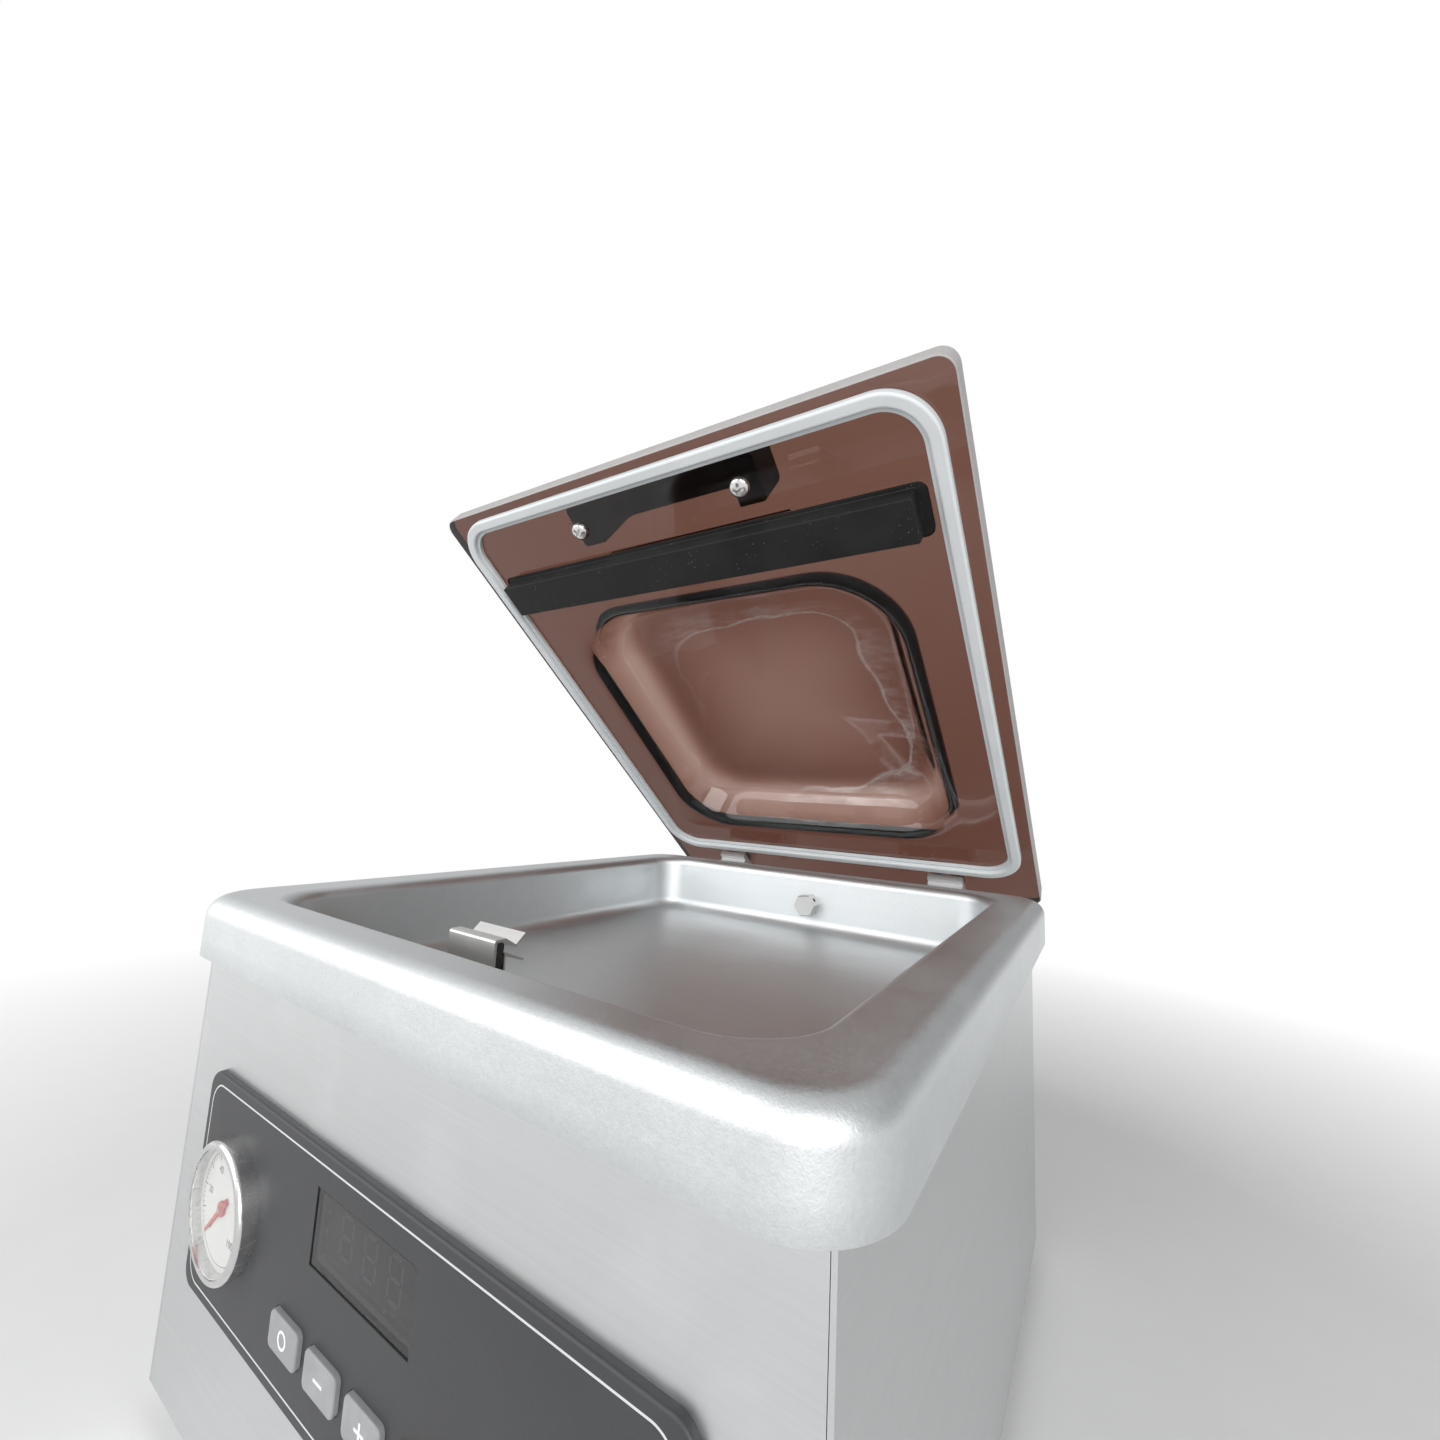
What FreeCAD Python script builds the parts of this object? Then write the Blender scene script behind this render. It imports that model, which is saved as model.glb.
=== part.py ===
import FreeCAD, Part
import math
import os
from FreeCAD import Vector

# Chamber vacuum sealer, lid open. Millimetres, +Z up, +X right, front at -Y, origin at bottom centre.

# Chamber pan: chamber, rim and skirt drawn from one stainless sheet
RIM_Z = 240.0
CHAMBER_WIDTH = 301.0
CHAMBER_LENGTH = 344.0
CHAMBER_DEPTH = 46.0
CHAMBER_CORNER = 28.0
FLOOR_ROUND = 9.0
MOUTH_ROUND = 6.0
RIM_SIDE = 31.5
RIM_FRONT = 25.0
RIM_REAR = 27.5
SKIRT_DROP = 28.0
PAN_CORNER = 28.0
PAN_EDGE_ROUND = 9.0
SHEET = 1.5

# Lid: thick tinted sheet with a formed dome, hinged behind and below the rim
OPEN_ANGLE = 38.2
HINGE_BEHIND_SKIRT = 9.8
HINGE_BELOW_RIM = 25.9
LID_THICKNESS = 12.0
LID_CORNER = 9.0
LID_BORDER_SIDE = 17.7
LID_BORDER_FRONT = 14.5
LID_BORDER_REAR = 48.0
LID_EDGE_BREAK = 0.8
DOME_HALF_WIDTH = 136.0
DOME_LENGTH = 265.0
DOME_FROM_GASKET = 20.0
DOME_HEIGHT = 40.0
DOME_DRAFT = 11.0
DOME_WALL = 9.5
DOME_MOUTH_ROUND = 14.0
DOME_TOP_ROUND = 26.0
DOME_ROOT_ROUND = 4.0
DOME_FRONT_CORNER = 58.0
DOME_REAR_CORNER = 48.0
DOME_CORNER_EASE = 0.45

# Lid gasket, press pad and handle
GASKET_SETBACK = 6.3
GASKET_WIDTH = 9.0
GASKET_HEIGHT = 5.3
GASKET_CORNER = 20.0
GASKET_LIP_WIDTH = 2.2
GASKET_LIP_HEIGHT = 2.6
GASKET_ROUND = 1.6
GROOVE_DEPTH = 2.0
CLOSED_GAP = 0.3
PAD_LENGTH = 296.4
PAD_WIDTH = 23.8
PAD_PROUD = 11.5
PAD_FROM_GASKET = 51.0
PAD_EDGE_ROUND = 0.6
POCKET_END_MARGIN = 5.3
POCKET_SIDE_MARGIN = 2.6
POCKET_DEPTH = 7.0
POCKET_CORNER = 5.0
PAD_FLANGE_PLAY = 0.2
HANDLE_SCREW_SPAN = 120.0
HANDLE_FROM_GASKET = 16.7
HANDLE_LENGTH = 138.0
HANDLE_DEPTH = 27.0
HANDLE_HEIGHT = 46.0
HANDLE_BAR = 11.0
HANDLE_FOOT = 17.4
HANDLE_SHOULDER = 24.0
HANDLE_LEAN = 15.0
HANDLE_BEND = 5.0
HANDLE_ROUND = 5.0
HANDLE_CORNER = 2.5

# Fasteners: shanks pass clearance holes and fill tapped holes with a little play
SCREW_R = 2.5
SCREW_HEAD_R = 5.8
SCREW_HEAD = 3.7
SCREW_HOLE_PLAY = 0.3
SCREW_TAP_PLAY = 0.05
SCREW_GRIP = 12.0
SMALL_SCREW_R = 2.0
SMALL_HEAD_R = 3.6
SMALL_HEAD = 2.4

# Hinges: an arm under the lid on each side, turning between the ears of a bracket
ARM_SPREAD = 209.0
ARM_WIDTH = 28.0
ARM_THICKNESS = 15.0
ARM_FLANGE = 5.0
ARM_FLANGE_FRONT = 12.0
ARM_FLANGE_REAR = 15.0
ARM_SCREW_PITCH = 15.0
PIN_R = 3.0
PIN_PLAY = 0.05
PIN_HEAD_R = 4.6
PIN_HEAD = 2.0
STOP_PIN_R = 3.0
STOP_UP_ARM = 12.0
RUN_GAP = 0.3
SIDE_PLAY = 0.6
EAR = 3.0
EAR_TOP = 9.0
EAR_CORNER = 3.0
SKIRT_CLEARANCE = 1.5
BRACKET_DROP = 60.0
BRACKET_SCREW_INSET = 14.0
SPRING_ROOM = 31.0
SPRING_WIRE_R = 0.9
SPRING_COIL_R = 6.5
SPRING_FULL_TURNS = 7
SPRING_LEG = 21.0
LUG_R = 3.0
LUG_UP_ARM = 18.0
LUG_LENGTH = 5.5

# Seal bar, lifted by two air cylinders under the chamber floor
BAR_LENGTH = 280.0
BAR_WIDTH = 14.0
BAR_HEIGHT = 11.0
BAR_GROOVE = 1.5
SEAL_BELOW_RIM = 27.0
RIBBON_WIDTH = 4.0
RIBBON_THICKNESS = 0.4
TAPE_THICKNESS = 0.3
TAPE_SKIRT = 6.0
CLAMP_LENGTH = 6.0
CLAMP_HEIGHT = 9.0
LIFT_SPREAD = 190.0
ROD_R = 4.0
ROD_PLAY = 0.05
PISTON_R = 14.0
PISTON_HEIGHT = 6.0
CYLINDER_R = 18.0
CYLINDER_HEAD = 6.0
CYLINDER_FOOT = 14.0
NECK_R = 8.0
NECK_RISE = 6.0
NUT_FLATS = 22.0
NUT_HEIGHT = 4.5

# Bag clip on the chamber floor in front of the seal bar
CLIP_WIDTH = 30.4
CLIP_FROM_FRONT = 14.0
CLIP_ABOVE_RIM = 1.7
CLIP_PLATE = 1.2
CLIP_LEAF = 0.8
CLIP_MOUTH = 9.0
CLIP_FLARE = 3.2
CLIP_GRIP = 4.0
CLIP_FOOT = 15.0
CLIP_SCREW_PITCH = 18.0

# Suction nozzle on the rear wall
NOZZLE_X = 3.0
NOZZLE_BELOW_RIM = 25.7
NOZZLE_FLATS = 21.5
NOZZLE_LENGTH = 11.0
NOZZLE_HOLE_R = 2.0
STUB_R = 5.5
STUB_PLAY = 0.1
ELBOW_SIDE = 12.0
BARB_R = 3.5
HOSE_R = 5.5
HOSE_BEND = 24.0
LIFT_HOSE_R = 3.5

# Housing panels under the pan
SEAT_MARGIN = 1.0
FLANGE = 9.0
FOOT_HEIGHT = 12.0
FOOT_R = 16.0
FOOT_INSET = 34.0
TRAY = 2.0
PANEL_GAP = 0.2
VENT_LENGTH = 56.0
VENT_WIDTH = 4.0
VENT_PITCH = 9.0
VENT_ROWS = 7
VENT_X = 78.0
VENT_Z = 128.0

# Control fascia on the front panel
FASCIA_WIDTH = 284.0
FASCIA_HEIGHT = 92.0
FASCIA_Z = 116.0
FASCIA = 3.0
FASCIA_CORNER = 8.0
WINDOW_WIDTH = 66.0
WINDOW_HEIGHT = 27.0
WINDOW_RISE = 20.0
WINDOW_LEDGE = 2.0
KEY_WIDTH = 22.0
KEY_HEIGHT = 13.0
KEY_PITCH = 28.0
KEY_DROP = 22.0
KEY_PROUD = 2.0
KEY_TRAVEL = 1.0
KEY_RIM = 2.0
KEY_CORNER = 2.5
KEY_NAMES = ["set_key", "minus_key", "plus_key", "stop_key"]
FIT_GAP = 0.3
BOARD_STAND = 14.0
BOARD = 1.6
BOARD_WIDTH = 132.0
BOARD_HEIGHT = 78.0
STANDOFF_R = 3.0
STANDOFF_NUT = 3.2
GAUGE_X = -104.0
GAUGE_R = 27.0
GAUGE_BEZEL = 3.0
GAUGE_PROUD = 7.0
GAUGE_DEEP = 24.0
GAUGE_RECESS = 6.0
DIAL = 0.8
NEEDLE_LENGTH = 18.0
NEEDLE_TAIL = 6.0
NEEDLE = 0.8
NEEDLE_REST = 225.0
LENS = 1.2
SWITCH_X = 106.0
SWITCH_WIDTH = 15.0
SWITCH_HEIGHT = 25.0
SWITCH_RIM = 3.0
SWITCH_DEEP = 22.0
ROCKER_TILT = 9.0
ROCKER_AXLE_R = 1.5

# Power inlet on the rear panel
INLET_X = 96.0
INLET_Z = 50.0
INLET_WIDTH = 24.6
INLET_HEIGHT = 16.6
INLET_DEPTH = 17.0
INLET_WALL = 2.0
INLET_FLANGE = 3.0
INLET_BORDER = 5.0

# Machinery on the tray
MOUNT_R = 10.0
MOUNT_HEIGHT = 12.0
PUMP_LENGTH = 118.0
PUMP_WIDTH = 100.0
PUMP_HEIGHT = 100.0
PUMP_FROM_REAR = 40.0
PUMP_PORT_INSET = 24.0
PUMP_RIB = 3.0
PUMP_RIBS = 6
MOTOR_R = 48.0
MOTOR_LENGTH = 120.0
MOTOR_RIB = 3.0
MOTOR_RIBS = 18
VALVE_LENGTH = 66.0
VALVE_WIDTH = 28.0
VALVE_HEIGHT = 24.0
COIL_R = 11.0
COIL_HEIGHT = 21.0
COIL_CLEARANCE = 2.0
CORE_FROM_SIDE = 34.0
CORE_FROM_FRONT = 96.0
CORE_LENGTH = 62.0
CORE_WIDTH = 30.0
CORE_HEIGHT = 54.0
CORE_LEG = 11.0
WINDING = 9.0

# Places worked out from the driving dimensions
COS = math.cos(math.radians(OPEN_ANGLE))
SIN = math.sin(math.radians(OPEN_ANGLE))
CHAMBER_HALF = CHAMBER_WIDTH / 2
PAN_HALF = CHAMBER_HALF + RIM_SIDE
UNDERSIDE_Z = RIM_Z + GASKET_HEIGHT + CLOSED_GAP
LID_TOP_Z = UNDERSIDE_Z + LID_THICKNESS
HINGE_Z = RIM_Z - HINGE_BELOW_RIM
SKIRT_Z = RIM_Z - SKIRT_DROP
FLOOR_Z = RIM_Z - CHAMBER_DEPTH

# The open lid's tail is the rearmost point, so the middle of the depth follows from it
HALF_LENGTH = CHAMBER_LENGTH / 2
TAIL = HALF_LENGTH + GASKET_SETBACK + LID_BORDER_REAR - (HALF_LENGTH + RIM_REAR + HINGE_BEHIND_SKIRT)
TAIL_EDGE = LID_EDGE_BREAK * (1 - COS - SIN)
TAIL_REACH = RIM_REAR + HINGE_BEHIND_SKIRT + TAIL * COS + (LID_TOP_Z - HINGE_Z) * SIN + TAIL_EDGE
CHAMBER_Y = (RIM_FRONT - TAIL_REACH) / 2
CHAMBER_FRONT = CHAMBER_Y - HALF_LENGTH
CHAMBER_REAR = CHAMBER_Y + HALF_LENGTH
PAN_FRONT = CHAMBER_FRONT - RIM_FRONT
PAN_REAR = CHAMBER_REAR + RIM_REAR
HINGE_Y = PAN_REAR + HINGE_BEHIND_SKIRT

GASKET_HALF = CHAMBER_HALF + GASKET_SETBACK
GASKET_FRONT = CHAMBER_FRONT - GASKET_SETBACK
GASKET_REAR = CHAMBER_REAR + GASKET_SETBACK
LID_HALF = GASKET_HALF + LID_BORDER_SIDE
LID_FRONT = GASKET_FRONT - LID_BORDER_FRONT
LID_REAR = GASKET_REAR + LID_BORDER_REAR
DOME_REAR = GASKET_REAR - DOME_FROM_GASKET
DOME_FRONT = DOME_REAR - DOME_LENGTH
PAD_Y = GASKET_FRONT + PAD_FROM_GASKET
PAD_FACE_Z = UNDERSIDE_Z - PAD_PROUD
HANDLE_Y = GASKET_FRONT + HANDLE_FROM_GASKET
ARM_X = ARM_SPREAD / 2
ARM_INNER = ARM_X - ARM_WIDTH / 2
ARM_OUTER = ARM_X + ARM_WIDTH / 2

SEAL_TOP_Z = RIM_Z - SEAL_BELOW_RIM
BAR_TOP_Z = SEAL_TOP_Z - TAPE_THICKNESS - RIBBON_THICKNESS
BAR_BOTTOM_Z = BAR_TOP_Z - BAR_HEIGHT
LIFT_TRAVEL = PAD_FACE_Z - SEAL_TOP_Z - 0.4
LIFT_X = LIFT_SPREAD / 2
PAN_UNDER_Z = FLOOR_Z - SHEET
PISTON_ROOM = PISTON_HEIGHT + LIFT_TRAVEL + 2 * RUN_GAP
CYLINDER_Z = PAN_UNDER_Z - CYLINDER_HEAD - PISTON_ROOM - CYLINDER_FOOT
PISTON_Z = CYLINDER_Z + CYLINDER_FOOT + RUN_GAP

HOUSING_INSET = PAN_EDGE_ROUND + SEAT_MARGIN
CORNER_NOTCH = PAN_CORNER - HOUSING_INSET
HOUSING_HALF = PAN_HALF - HOUSING_INSET
HOUSING_FRONT = PAN_FRONT + HOUSING_INSET
HOUSING_REAR = PAN_REAR - HOUSING_INSET
SEAT_Z = RIM_Z - SHEET
TRAY_Z = FOOT_HEIGHT + SHEET
TRAY_TOP = TRAY_Z + TRAY
FACE_Y = HOUSING_FRONT - FASCIA
PANEL_BACK = HOUSING_FRONT + SHEET
BOARD_Y = PANEL_BACK + BOARD_STAND
WINDOW_Z = FASCIA_Z + WINDOW_RISE
KEY_Z = FASCIA_Z - KEY_DROP
BRACKET_TOP = SKIRT_Z - SKIRT_CLEARANCE
BRACKET_BOTTOM = BRACKET_TOP - BRACKET_DROP
BRACKET_INNER = ARM_INNER - SPRING_ROOM
NOZZLE_Z = RIM_Z - NOZZLE_BELOW_RIM
ELBOW_Y = (CHAMBER_REAR + SHEET + HOUSING_REAR - SHEET) / 2
PUMP_Z = TRAY_TOP + MOUNT_HEIGHT
PUMP_REAR = HOUSING_REAR - PUMP_FROM_REAR
PUMP_Y = PUMP_REAR - PUMP_WIDTH / 2
PUMP_X = NOZZLE_X - PUMP_LENGTH / 2 + PUMP_PORT_INSET
VALVE_TOP = PAN_UNDER_Z - COIL_HEIGHT - COIL_CLEARANCE
VALVE_Z = VALVE_TOP - VALVE_HEIGHT / 2
CLIP_Y = CHAMBER_FRONT + CLIP_FROM_FRONT
CLIP_TOP_Z = RIM_Z + CLIP_ABOVE_RIM
CLIP_SCREW_Y = CLIP_Y + CLIP_PLATE + CLIP_GRIP + CLIP_FOOT / 2
X = Vector(1, 0, 0)
Y = Vector(0, 1, 0)
Z = Vector(0, 0, 1)


# A rectangle in plan with round corners, as a closed wire at height z
def outline(half_x, front, rear, z, front_r, rear_r=None, mid_x=0.0):
    rear_r = front_r if rear_r is None else rear_r
    corners = [(1, front, front_r, -90), (1, rear, rear_r, 0)]
    corners += [(-1, rear, rear_r, 90), (-1, front, front_r, 180)]
    arcs = []
    for side, end, r, start in corners:
        centre = Vector(mid_x + side * (half_x - r), end + (r if end == front else -r), z)
        points = []
        for turn in (0, 45, 90):
            a = math.radians(start + turn)
            points.append(centre + Vector(r * math.cos(a), r * math.sin(a), 0))
        arcs.append(points)
    edges = []
    for i, points in enumerate(arcs):
        edges.append(Part.Arc(*points).toShape())
        edges.append(Part.LineSegment(points[2], arcs[(i + 1) % 4][0]).toShape())
    return Part.Wire(edges)


# A plate with round corners, from height bottom to height top
def plate(half_x, front, rear, bottom, top, front_r, rear_r=None, mid_x=0.0):
    wire = outline(half_x, front, rear, bottom, front_r, rear_r, mid_x)
    return Part.Face(wire).extrude(Vector(0, 0, top - bottom))


# A plate with round corners that stands on edge, facing front, from y near to y far
def upright(half_x, bottom, top, near, far, corner, mid_x=0.0):
    lying = plate(half_x, -top, -bottom, near, far, corner, None, mid_x)
    lying.rotate(Vector(0, 0, 0), X, -90)
    return lying


# A box from its two opposite corners
def block(x0, x1, y0, y1, z0, z1):
    return Part.makeBox(x1 - x0, y1 - y0, z1 - z0, Vector(x0, y0, z0))


# A straight bar whose section is a polygon in Y and Z
def bar_along_x(points, x0, x1):
    corners = [Vector(x0, y, z) for y, z in points]
    return Part.Face(Part.makePolygon(corners + corners[:1])).extrude(Vector(x1 - x0, 0, 0))


# A hexagonal prism with its flats across given, along direction, corners on the X axis
def hexagon(flats, length, centre, direction):
    r = flats / math.sqrt(3)
    across = X
    up = direction.cross(across)
    points = []
    for i in range(6):
        a = math.radians(60 * i)
        points.append(centre + across * (r * math.cos(a)) + up * (r * math.sin(a)))
    return Part.Face(Part.makePolygon(points + points[:1])).extrude(direction * length)


def rod(r, length, start, direction):
    return Part.makeCylinder(r, length, start, direction)


# Edges that lie at one height, inside a plan box when one is given
def edges_at(shape, z, half_x=None, front=None, rear=None):
    chosen = []
    for edge in shape.Edges:
        box = edge.BoundBox
        if abs(box.ZMin - z) > 1e-4 or abs(box.ZMax - z) > 1e-4:
            continue
        if half_x is not None:
            beside = max(abs(box.XMin), abs(box.XMax)) > half_x + 0.01
            if beside or box.YMin < front - 0.01 or box.YMax > rear + 0.01:
                continue
        chosen.append(edge)
    return chosen


# Edges that run along X, such as the corners of a bent section
def edges_along_x(shape, length):
    return [e for e in shape.Edges if abs(e.BoundBox.XLength - length) < 1e-3 and e.BoundBox.YLength < 1e-3
            and e.BoundBox.ZLength < 1e-3]


def mirrored(shape):
    return shape.mirror(Vector(0, 0, 0), X)


def both_sides(shape):
    return Part.makeCompound([mirrored(shape), shape])


# Turns a piece of the lid from its closed place to the open one
def opened(shape):
    turned = shape.copy()
    turned.rotate(Vector(0, HINGE_Y, HINGE_Z), Vector(-1, 0, 0), OPEN_ANGLE)
    return turned


# A tube along straight runs joined by tangent arcs of one bend radius
def tube(points, r, bend):
    runs = [(points[i + 1] - points[i]).normalize() for i in range(len(points) - 1)]
    edges = []
    start = points[0]
    for i in range(1, len(points) - 1):
        a, b = runs[i - 1], runs[i]
        turn = a.getAngle(b)
        back = bend * math.tan(turn / 2)
        enter = points[i] - a * back
        leave = points[i] + b * back
        inward = (b - a).normalize()
        middle = points[i] + inward * (bend / math.cos(turn / 2) - bend)
        edges.append(Part.LineSegment(start, enter).toShape())
        edges.append(Part.Arc(enter, middle, leave).toShape())
        start = leave
    edges.append(Part.LineSegment(start, points[-1]).toShape())
    section = Part.Wire(Part.makeCircle(r, points[0], runs[0]))
    return Part.Wire(edges).makePipeShell([section], True, False)


# A turned screw with a domed, cross-slotted head; its shank runs from the seat along direction
def pan_screw(seat, direction, r, head_r, head, length):
    crown = head * 0.45
    ball_r = (head_r ** 2 + crown ** 2) / (2 * crown)
    half = math.asin(head_r / ball_r) / 2
    rim = Vector(head_r, 0, crown - head)
    middle = Vector(ball_r * math.sin(half), 0, ball_r - ball_r * math.cos(half) - head)
    tip = Vector(0, 0, -head)
    corners = [tip, Vector(0, 0, length), Vector(r, 0, length), Vector(r, 0, 0), Vector(head_r, 0, 0), rim]
    edges = [Part.LineSegment(corners[i], corners[i + 1]).toShape() for i in range(len(corners) - 1)]
    edges.append(Part.Arc(rim, middle, tip).toShape())
    screw = Part.Face(Part.Wire(edges)).revolve(Vector(0, 0, 0), Z, 360)
    long = head_r * 0.55
    wide = head_r * 0.12
    for x, y in ((long, wide), (wide, long)):
        screw = screw.cut(block(-x, x, -y, y, -head - 1, -head * 0.45))
    screw.Placement = FreeCAD.Placement(seat, FreeCAD.Rotation(Z, direction))
    return screw


# Chamber, rolled mouth, flat rim and skirt in one drawn sheet
def chamber_pan():
    body = plate(PAN_HALF, PAN_FRONT, PAN_REAR, SKIRT_Z, RIM_Z, PAN_CORNER)
    body = body.makeFillet(PAN_EDGE_ROUND, edges_at(body, RIM_Z))
    wide = CHAMBER_HALF + SHEET
    front = CHAMBER_FRONT - SHEET
    rear = CHAMBER_REAR + SHEET
    tub = plate(wide, front, rear, PAN_UNDER_Z, RIM_Z - MOUTH_ROUND, CHAMBER_CORNER + SHEET)
    tub = tub.makeFillet(FLOOR_ROUND + SHEET, edges_at(tub, PAN_UNDER_Z))
    room = plate(CHAMBER_HALF, CHAMBER_FRONT, CHAMBER_REAR, FLOOR_Z, RIM_Z + SHEET, CHAMBER_CORNER)
    room = room.makeFillet(FLOOR_ROUND, edges_at(room, FLOOR_Z))
    pan = body.fuse(tub).cut(room).removeSplitter()
    pan = pan.makeFillet(MOUTH_ROUND, edges_at(pan, RIM_Z, CHAMBER_HALF, CHAMBER_FRONT, CHAMBER_REAR))
    under = SKIRT_Z - SHEET
    hollow = plate(PAN_HALF - SHEET, PAN_FRONT + SHEET, PAN_REAR - SHEET, under, SEAT_Z, PAN_CORNER - SHEET)
    hollow = hollow.makeFillet(PAN_EDGE_ROUND - SHEET, edges_at(hollow, SEAT_Z))
    hollow = hollow.cut(plate(wide, front, rear, under, RIM_Z, CHAMBER_CORNER + SHEET))
    hollow = hollow.makeFillet(MOUTH_ROUND - SHEET, edges_at(hollow, SEAT_Z, wide, front, rear))
    pan = pan.cut(hollow)
    for side in (-1, 1):
        pan = pan.cut(rod(NECK_R + PANEL_GAP, 4 * SHEET, Vector(side * LIFT_X, PAD_Y, PAN_UNDER_Z - SHEET), Z))
        hole = Vector(side * CLIP_SCREW_PITCH / 2, CLIP_SCREW_Y, PAN_UNDER_Z - SHEET)
        pan = pan.cut(rod(SMALL_SCREW_R + PANEL_GAP, 4 * SHEET, hole, Z))
    return pan.cut(rod(STUB_R + PANEL_GAP, 4 * SHEET, Vector(NOZZLE_X, CHAMBER_REAR - SHEET, NOZZLE_Z), Y))


# The dome's tapered form, grown outwards by a wall; grown by nothing it is the hollow
def dome_form(wall):
    foot = DOME_MOUTH_ROUND
    slope = DOME_DRAFT / DOME_HEIGHT
    out = wall * math.hypot(1, slope)
    wires = []
    for rise in (0.0, DOME_HEIGHT + wall):
        inset = foot + slope * rise - out
        ease = DOME_CORNER_EASE * inset
        wires.append(outline(DOME_HALF_WIDTH - inset, DOME_FRONT + inset, DOME_REAR - inset,
                             UNDERSIDE_Z + rise, DOME_FRONT_CORNER - ease, DOME_REAR_CORNER - ease))
    form = Part.makeLoft(wires, True, True)
    return form.makeFillet(DOME_TOP_ROUND + wall, edges_at(form, UNDERSIDE_Z + DOME_HEIGHT + wall))


# Lid sheet with its dome, gasket groove, the pad's milled pocket and screw holes
def lid_shell():
    sheet = plate(LID_HALF, LID_FRONT, LID_REAR, UNDERSIDE_Z, LID_TOP_Z, LID_CORNER)
    rims = edges_at(sheet, UNDERSIDE_Z) + edges_at(sheet, LID_TOP_Z)
    sheet = sheet.makeFillet(LID_EDGE_BREAK, rims)
    lid = sheet.fuse(dome_form(DOME_WALL))
    root = edges_at(lid, LID_TOP_Z, DOME_HALF_WIDTH, DOME_FRONT - DOME_WALL, DOME_REAR + DOME_WALL)
    lid = lid.makeFillet(DOME_ROOT_ROUND, root)
    lid = lid.cut(dome_form(0.0))
    mouth = edges_at(lid, UNDERSIDE_Z, DOME_HALF_WIDTH, DOME_FRONT, DOME_REAR)
    lid = lid.makeFillet(DOME_MOUTH_ROUND - LID_EDGE_BREAK, mouth)
    lid = lid.cut(gasket_ring(GASKET_WIDTH, 0.0, -GROOVE_DEPTH)).cut(pad_pocket(UNDERSIDE_Z - SHEET, 0.0))
    for x, y in handle_screw_places() + arm_screw_places():
        lid = lid.cut(rod(SCREW_R + SCREW_HOLE_PLAY, 2 * LID_THICKNESS, Vector(x, y, UNDERSIDE_Z - SHEET), Z))
    return opened(lid)


# One course of the gasket: from an inset off the chamber side, down from the lid by a depth
def gasket_ring(width, inset, depth):
    z0, z1 = sorted((UNDERSIDE_Z, UNDERSIDE_Z - depth))
    outer = plate(GASKET_HALF + width, GASKET_FRONT - width, GASKET_REAR + width, z0, z1, GASKET_CORNER + width)
    inner = plate(GASKET_HALF + inset, GASKET_FRONT - inset, GASKET_REAR + inset, z0, z1, GASKET_CORNER + inset)
    return outer.cut(inner)


# Silicone gasket: root in the lid's groove, a rounded bead and a thin lip on the chamber side
def lid_gasket():
    bead = gasket_ring(GASKET_WIDTH, GASKET_LIP_WIDTH, GASKET_HEIGHT)
    bead = bead.makeFillet(GASKET_ROUND, edges_at(bead, UNDERSIDE_Z - GASKET_HEIGHT))
    lip = gasket_ring(GASKET_LIP_WIDTH, 0.0, GASKET_LIP_HEIGHT)
    root = gasket_ring(GASKET_WIDTH, 0.0, -GROOVE_DEPTH)
    return opened(root.fuse(bead).fuse(lip).removeSplitter())


# The pad's pocket in the lid, from a height to its roof, drawn in by a play
def pad_pocket(bottom, play):
    wide = PAD_WIDTH / 2 + POCKET_SIDE_MARGIN - play
    return plate(PAD_LENGTH / 2 + POCKET_END_MARGIN - play, PAD_Y - wide, PAD_Y + wide, bottom,
                 UNDERSIDE_Z + POCKET_DEPTH, POCKET_CORNER - play)


# Silicone pad that the seal bar presses against, its flange filling the pocket
def press_pad():
    half = PAD_LENGTH / 2
    wide = PAD_WIDTH / 2
    pad = block(-half, half, PAD_Y - wide, PAD_Y + wide, PAD_FACE_Z, UNDERSIDE_Z + POCKET_DEPTH)
    pad = pad.makeFillet(PAD_EDGE_ROUND, edges_at(pad, PAD_FACE_Z))
    return opened(pad.fuse(pad_pocket(UNDERSIDE_Z + PAD_FLANGE_PLAY, PAD_FLANGE_PLAY)).removeSplitter())


def handle_screw_places():
    return [(side * HANDLE_SCREW_SPAN / 2, HANDLE_Y) for side in (-1, 1)]


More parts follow.
